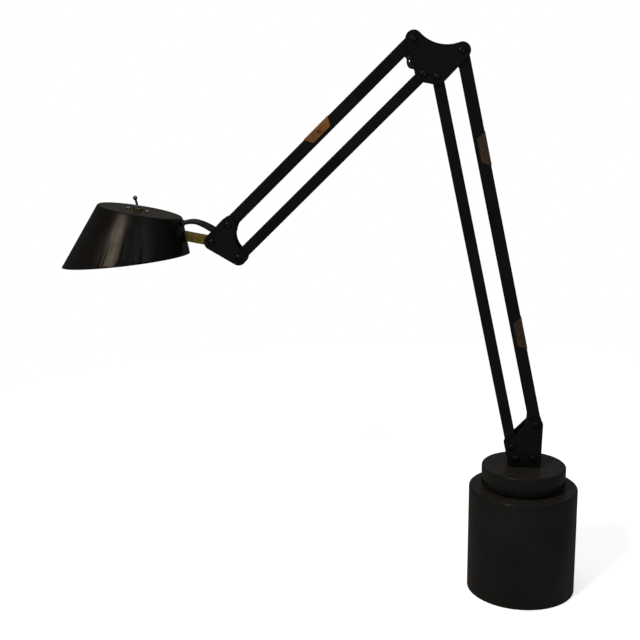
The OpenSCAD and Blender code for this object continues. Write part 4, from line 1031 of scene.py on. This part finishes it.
class DESKLAMP_OT_switch(bpy.types.Operator):
    """Make the toggle switch: body, threaded bushing, washer, hex nut and ball lever"""

    bl_idname = "desk_lamp.switch"
    bl_label = "Switch"

    def execute(self, context):
        sizes = context.scene.desk_lamp_hardware
        dress(ceramic("switch_phenolic", (0.03, 0.028, 0.027), 0.4), "switch_body", edge=sizes.fine_edge)
        brass = metal("dull_brass", (0.050, 0.044, 0.022), 0.32, 0.3)
        nickel = metal("dark_nickel", (0.024, 0.023, 0.022), 0.16, 0.1)
        place = HEAD @ Matrix.Translation((SWITCH_X, 0, 0))
        bm = bmesh.new()
        bore, wide = BUSHING_R + 0.05, BUSHING_R + NUT_WALL
        flats = 2 * wide * math.cos(math.pi / 6)
        turned(bm, [(bore, 0.0), (wide + 0.3, 0.0), (wide + 0.3, 0.4), (bore, 0.4)], place, 48, True)
        turned(
            bm,
            [(bore, 0.5), (flats / 2, 0.5), (wide, 0.8, flats), (wide, 2.2, flats), (flats / 2, 2.5)]
            + [(bore + 0.3, 2.5), (bore, 2.2)],
            place @ Matrix.Rotation(math.radians(11), 4, "Z"), 48, True,
        )
        make("switch_nut_detailed", bm, brass, "head", ("switch_nut",))
        bm = bmesh.new()
        rows = [(BUSHING_R + (0.0 if i % 2 else 0.13), 2.55 + 0.25 * i) for i in range(7)]
        turned(bm, [(BUSHING_R - 0.05, 2.5), *rows, (BUSHING_R - 0.05, 4.3)], place, 48, True)
        make("switch_thread", bm, nickel, "head")
        bm = bmesh.new()
        lever = [(0, -1.8), (1.1, -1.5), (1.7, -0.6), (1.8, 0.0), (1.65, 0.7), (1.1, 1.35), (0.88, 2.0)]
        lever += [(0.88, 2.8), (1.05, 3.4), (1.2, 4.2), (1.2, 6.0), (1.15, LEVER_LEN - 2.2)]
        ball = arc_rows(BALL_R, LEVER_LEN, -56, 90, 12)
        ball[-1] = (0, LEVER_LEN + BALL_R)
        root = HEAD @ Matrix.Translation((SWITCH_X, 0, LEVER_UP))
        turned(bm, lever + ball, root @ Matrix.Rotation(math.radians(-LEVER_LEAN), 4, "Y"), 40)
        make(
            "toggle_lever_detailed", bm, nickel, "toggle_lever_body", ("toggle_lever",),
            sharp=60.0,
        )
        return {"FINISHED"}


class DESKLAMP_OT_capsule(bpy.types.Operator):
    """Make the lamp capsule, its holder and the spun reflector over it"""

    bl_idname = "desk_lamp.capsule"
    bl_label = "Lamp capsule"

    def execute(self, context):
        sizes = context.scene.desk_lamp_hardware
        dress(ceramic("holder_ceramic", (0.80, 0.77, 0.70)), "lampholder", edge=sizes.fine_edge * 2)
        middle = in_head((0, 0, LINK_LOW)) * MM
        aluminium = spun("spun_aluminium", (0.66, 0.66, 0.67), 0.26, middle)
        dress(aluminium, "reflector", edge=sizes.fine_edge)
        seat = HEAD @ Matrix.Translation((HOLDER_X, 0, LINK_LOW - LAMP_DROP))
        seat = seat @ Matrix.Rotation(math.radians(-90), 4, "Y")
        wall = 0.9
        inside = LAMP_R - wall
        dome = arc_rows(LAMP_R, LAMP_LEN - LAMP_R, 0, 78.75, 7)
        hollow = arc_rows(inside, LAMP_LEN - LAMP_R, 78.75, 0, 7)
        bm = bmesh.new()
        turned(
            bm,
            [(3.1, 0.2), (3.4, 0.8), (3.4, 3.2), (4.6, 4.4), (LAMP_R, 6.0), *dome, (0, LAMP_LEN)]
            + [(0, LAMP_LEN - wall), *hollow, (inside, 6.6), (3.9, 5.2), (2.6, 3.8), (2.6, 0.2)],
            seat, 40, True,
        )
        make("capsule_glass", bm, glass("quartz_glass"), "head", ("bulb",), 50.0)
        bm = bmesh.new()
        half, high = 2.2, 14.0
        for side in (-1, 1):
            bends = ((2.0, -4.6), (2.0, 3.0), (1.9, 6.0), (2.3, 10.0), (half, high))
            post = [Vector((0, side * y, z)) for y, z in bends]
            swept(bm, [seat @ v for v in curve_through(post, 1.2)], 0.32, 10)
        coil_r, turns, points = 0.45, 13, 8
        coil = []
        for k in range(turns * points + 1):
            t = 2 * math.pi * k / points
            y = half * (2 * k / (turns * points) - 1)
            coil.append(Vector((coil_r * math.cos(t), y, high + coil_r * math.sin(t))))
        swept(bm, [seat @ v for v in coil], 0.09, 6)
        tungsten = metal("tungsten", (0.30, 0.30, 0.31), 0.35)
        make("capsule_filament", bm, tungsten, "head")
        return {"FINISHED"}


class DESKLAMP_PT_panel(bpy.types.Panel):
    """The lamp's settings and the operators that make it"""

    bl_idname = "DESKLAMP_PT_panel"
    bl_label = "Desk Lamp"
    bl_space_type = "VIEW_3D"
    bl_region_type = "UI"
    bl_category = "Desk Lamp"

    def draw(self, context):
        for group in GROUPS:
            box = self.layout.box()
            box.label(text=GROUPS[group].__doc__)
            settings = getattr(context.scene, group)
            for key in GROUPS[group].__annotations__:
                box.prop(settings, key)
        for step in STEPS:
            self.layout.operator(step.bl_idname)


GROUPS = {
    "desk_lamp_finishes": LampFinishes,
    "desk_lamp_hardware": LampHardware,
    "desk_lamp_lead": LampLead,
    "desk_lamp_studio": LampStudio,
}
STEPS = (
    DESKLAMP_OT_studio,
    DESKLAMP_OT_lead,
    DESKLAMP_OT_drum,
    DESKLAMP_OT_inside,
    DESKLAMP_OT_brackets,
    DESKLAMP_OT_bars,
    DESKLAMP_OT_bolts,
    DESKLAMP_OT_springs,
    DESKLAMP_OT_shade,
    DESKLAMP_OT_switch,
    DESKLAMP_OT_capsule,
)


def register():
    for group in GROUPS.values():
        bpy.utils.register_class(group)
    for key, group in GROUPS.items():
        setattr(bpy.types.Scene, key, PointerProperty(type=group))
    for step in STEPS:
        bpy.utils.register_class(step)
    bpy.utils.register_class(DESKLAMP_PT_panel)


def unregister():
    bpy.utils.unregister_class(DESKLAMP_PT_panel)
    for step in reversed(STEPS):
        bpy.utils.unregister_class(step)
    for key in GROUPS:
        delattr(bpy.types.Scene, key)
    for group in reversed(list(GROUPS.values())):
        bpy.utils.unregister_class(group)


def main():
    register()
    bpy.ops.desk_lamp.studio()
    bpy.ops.desk_lamp.lead()
    bpy.ops.desk_lamp.drum()
    bpy.ops.desk_lamp.inside()
    bpy.ops.desk_lamp.brackets()
    bpy.ops.desk_lamp.bars()
    bpy.ops.desk_lamp.bolts()
    bpy.ops.desk_lamp.springs()
    bpy.ops.desk_lamp.shade()
    bpy.ops.desk_lamp.switch()
    bpy.ops.desk_lamp.capsule()


if __name__ == "__main__":
    main()
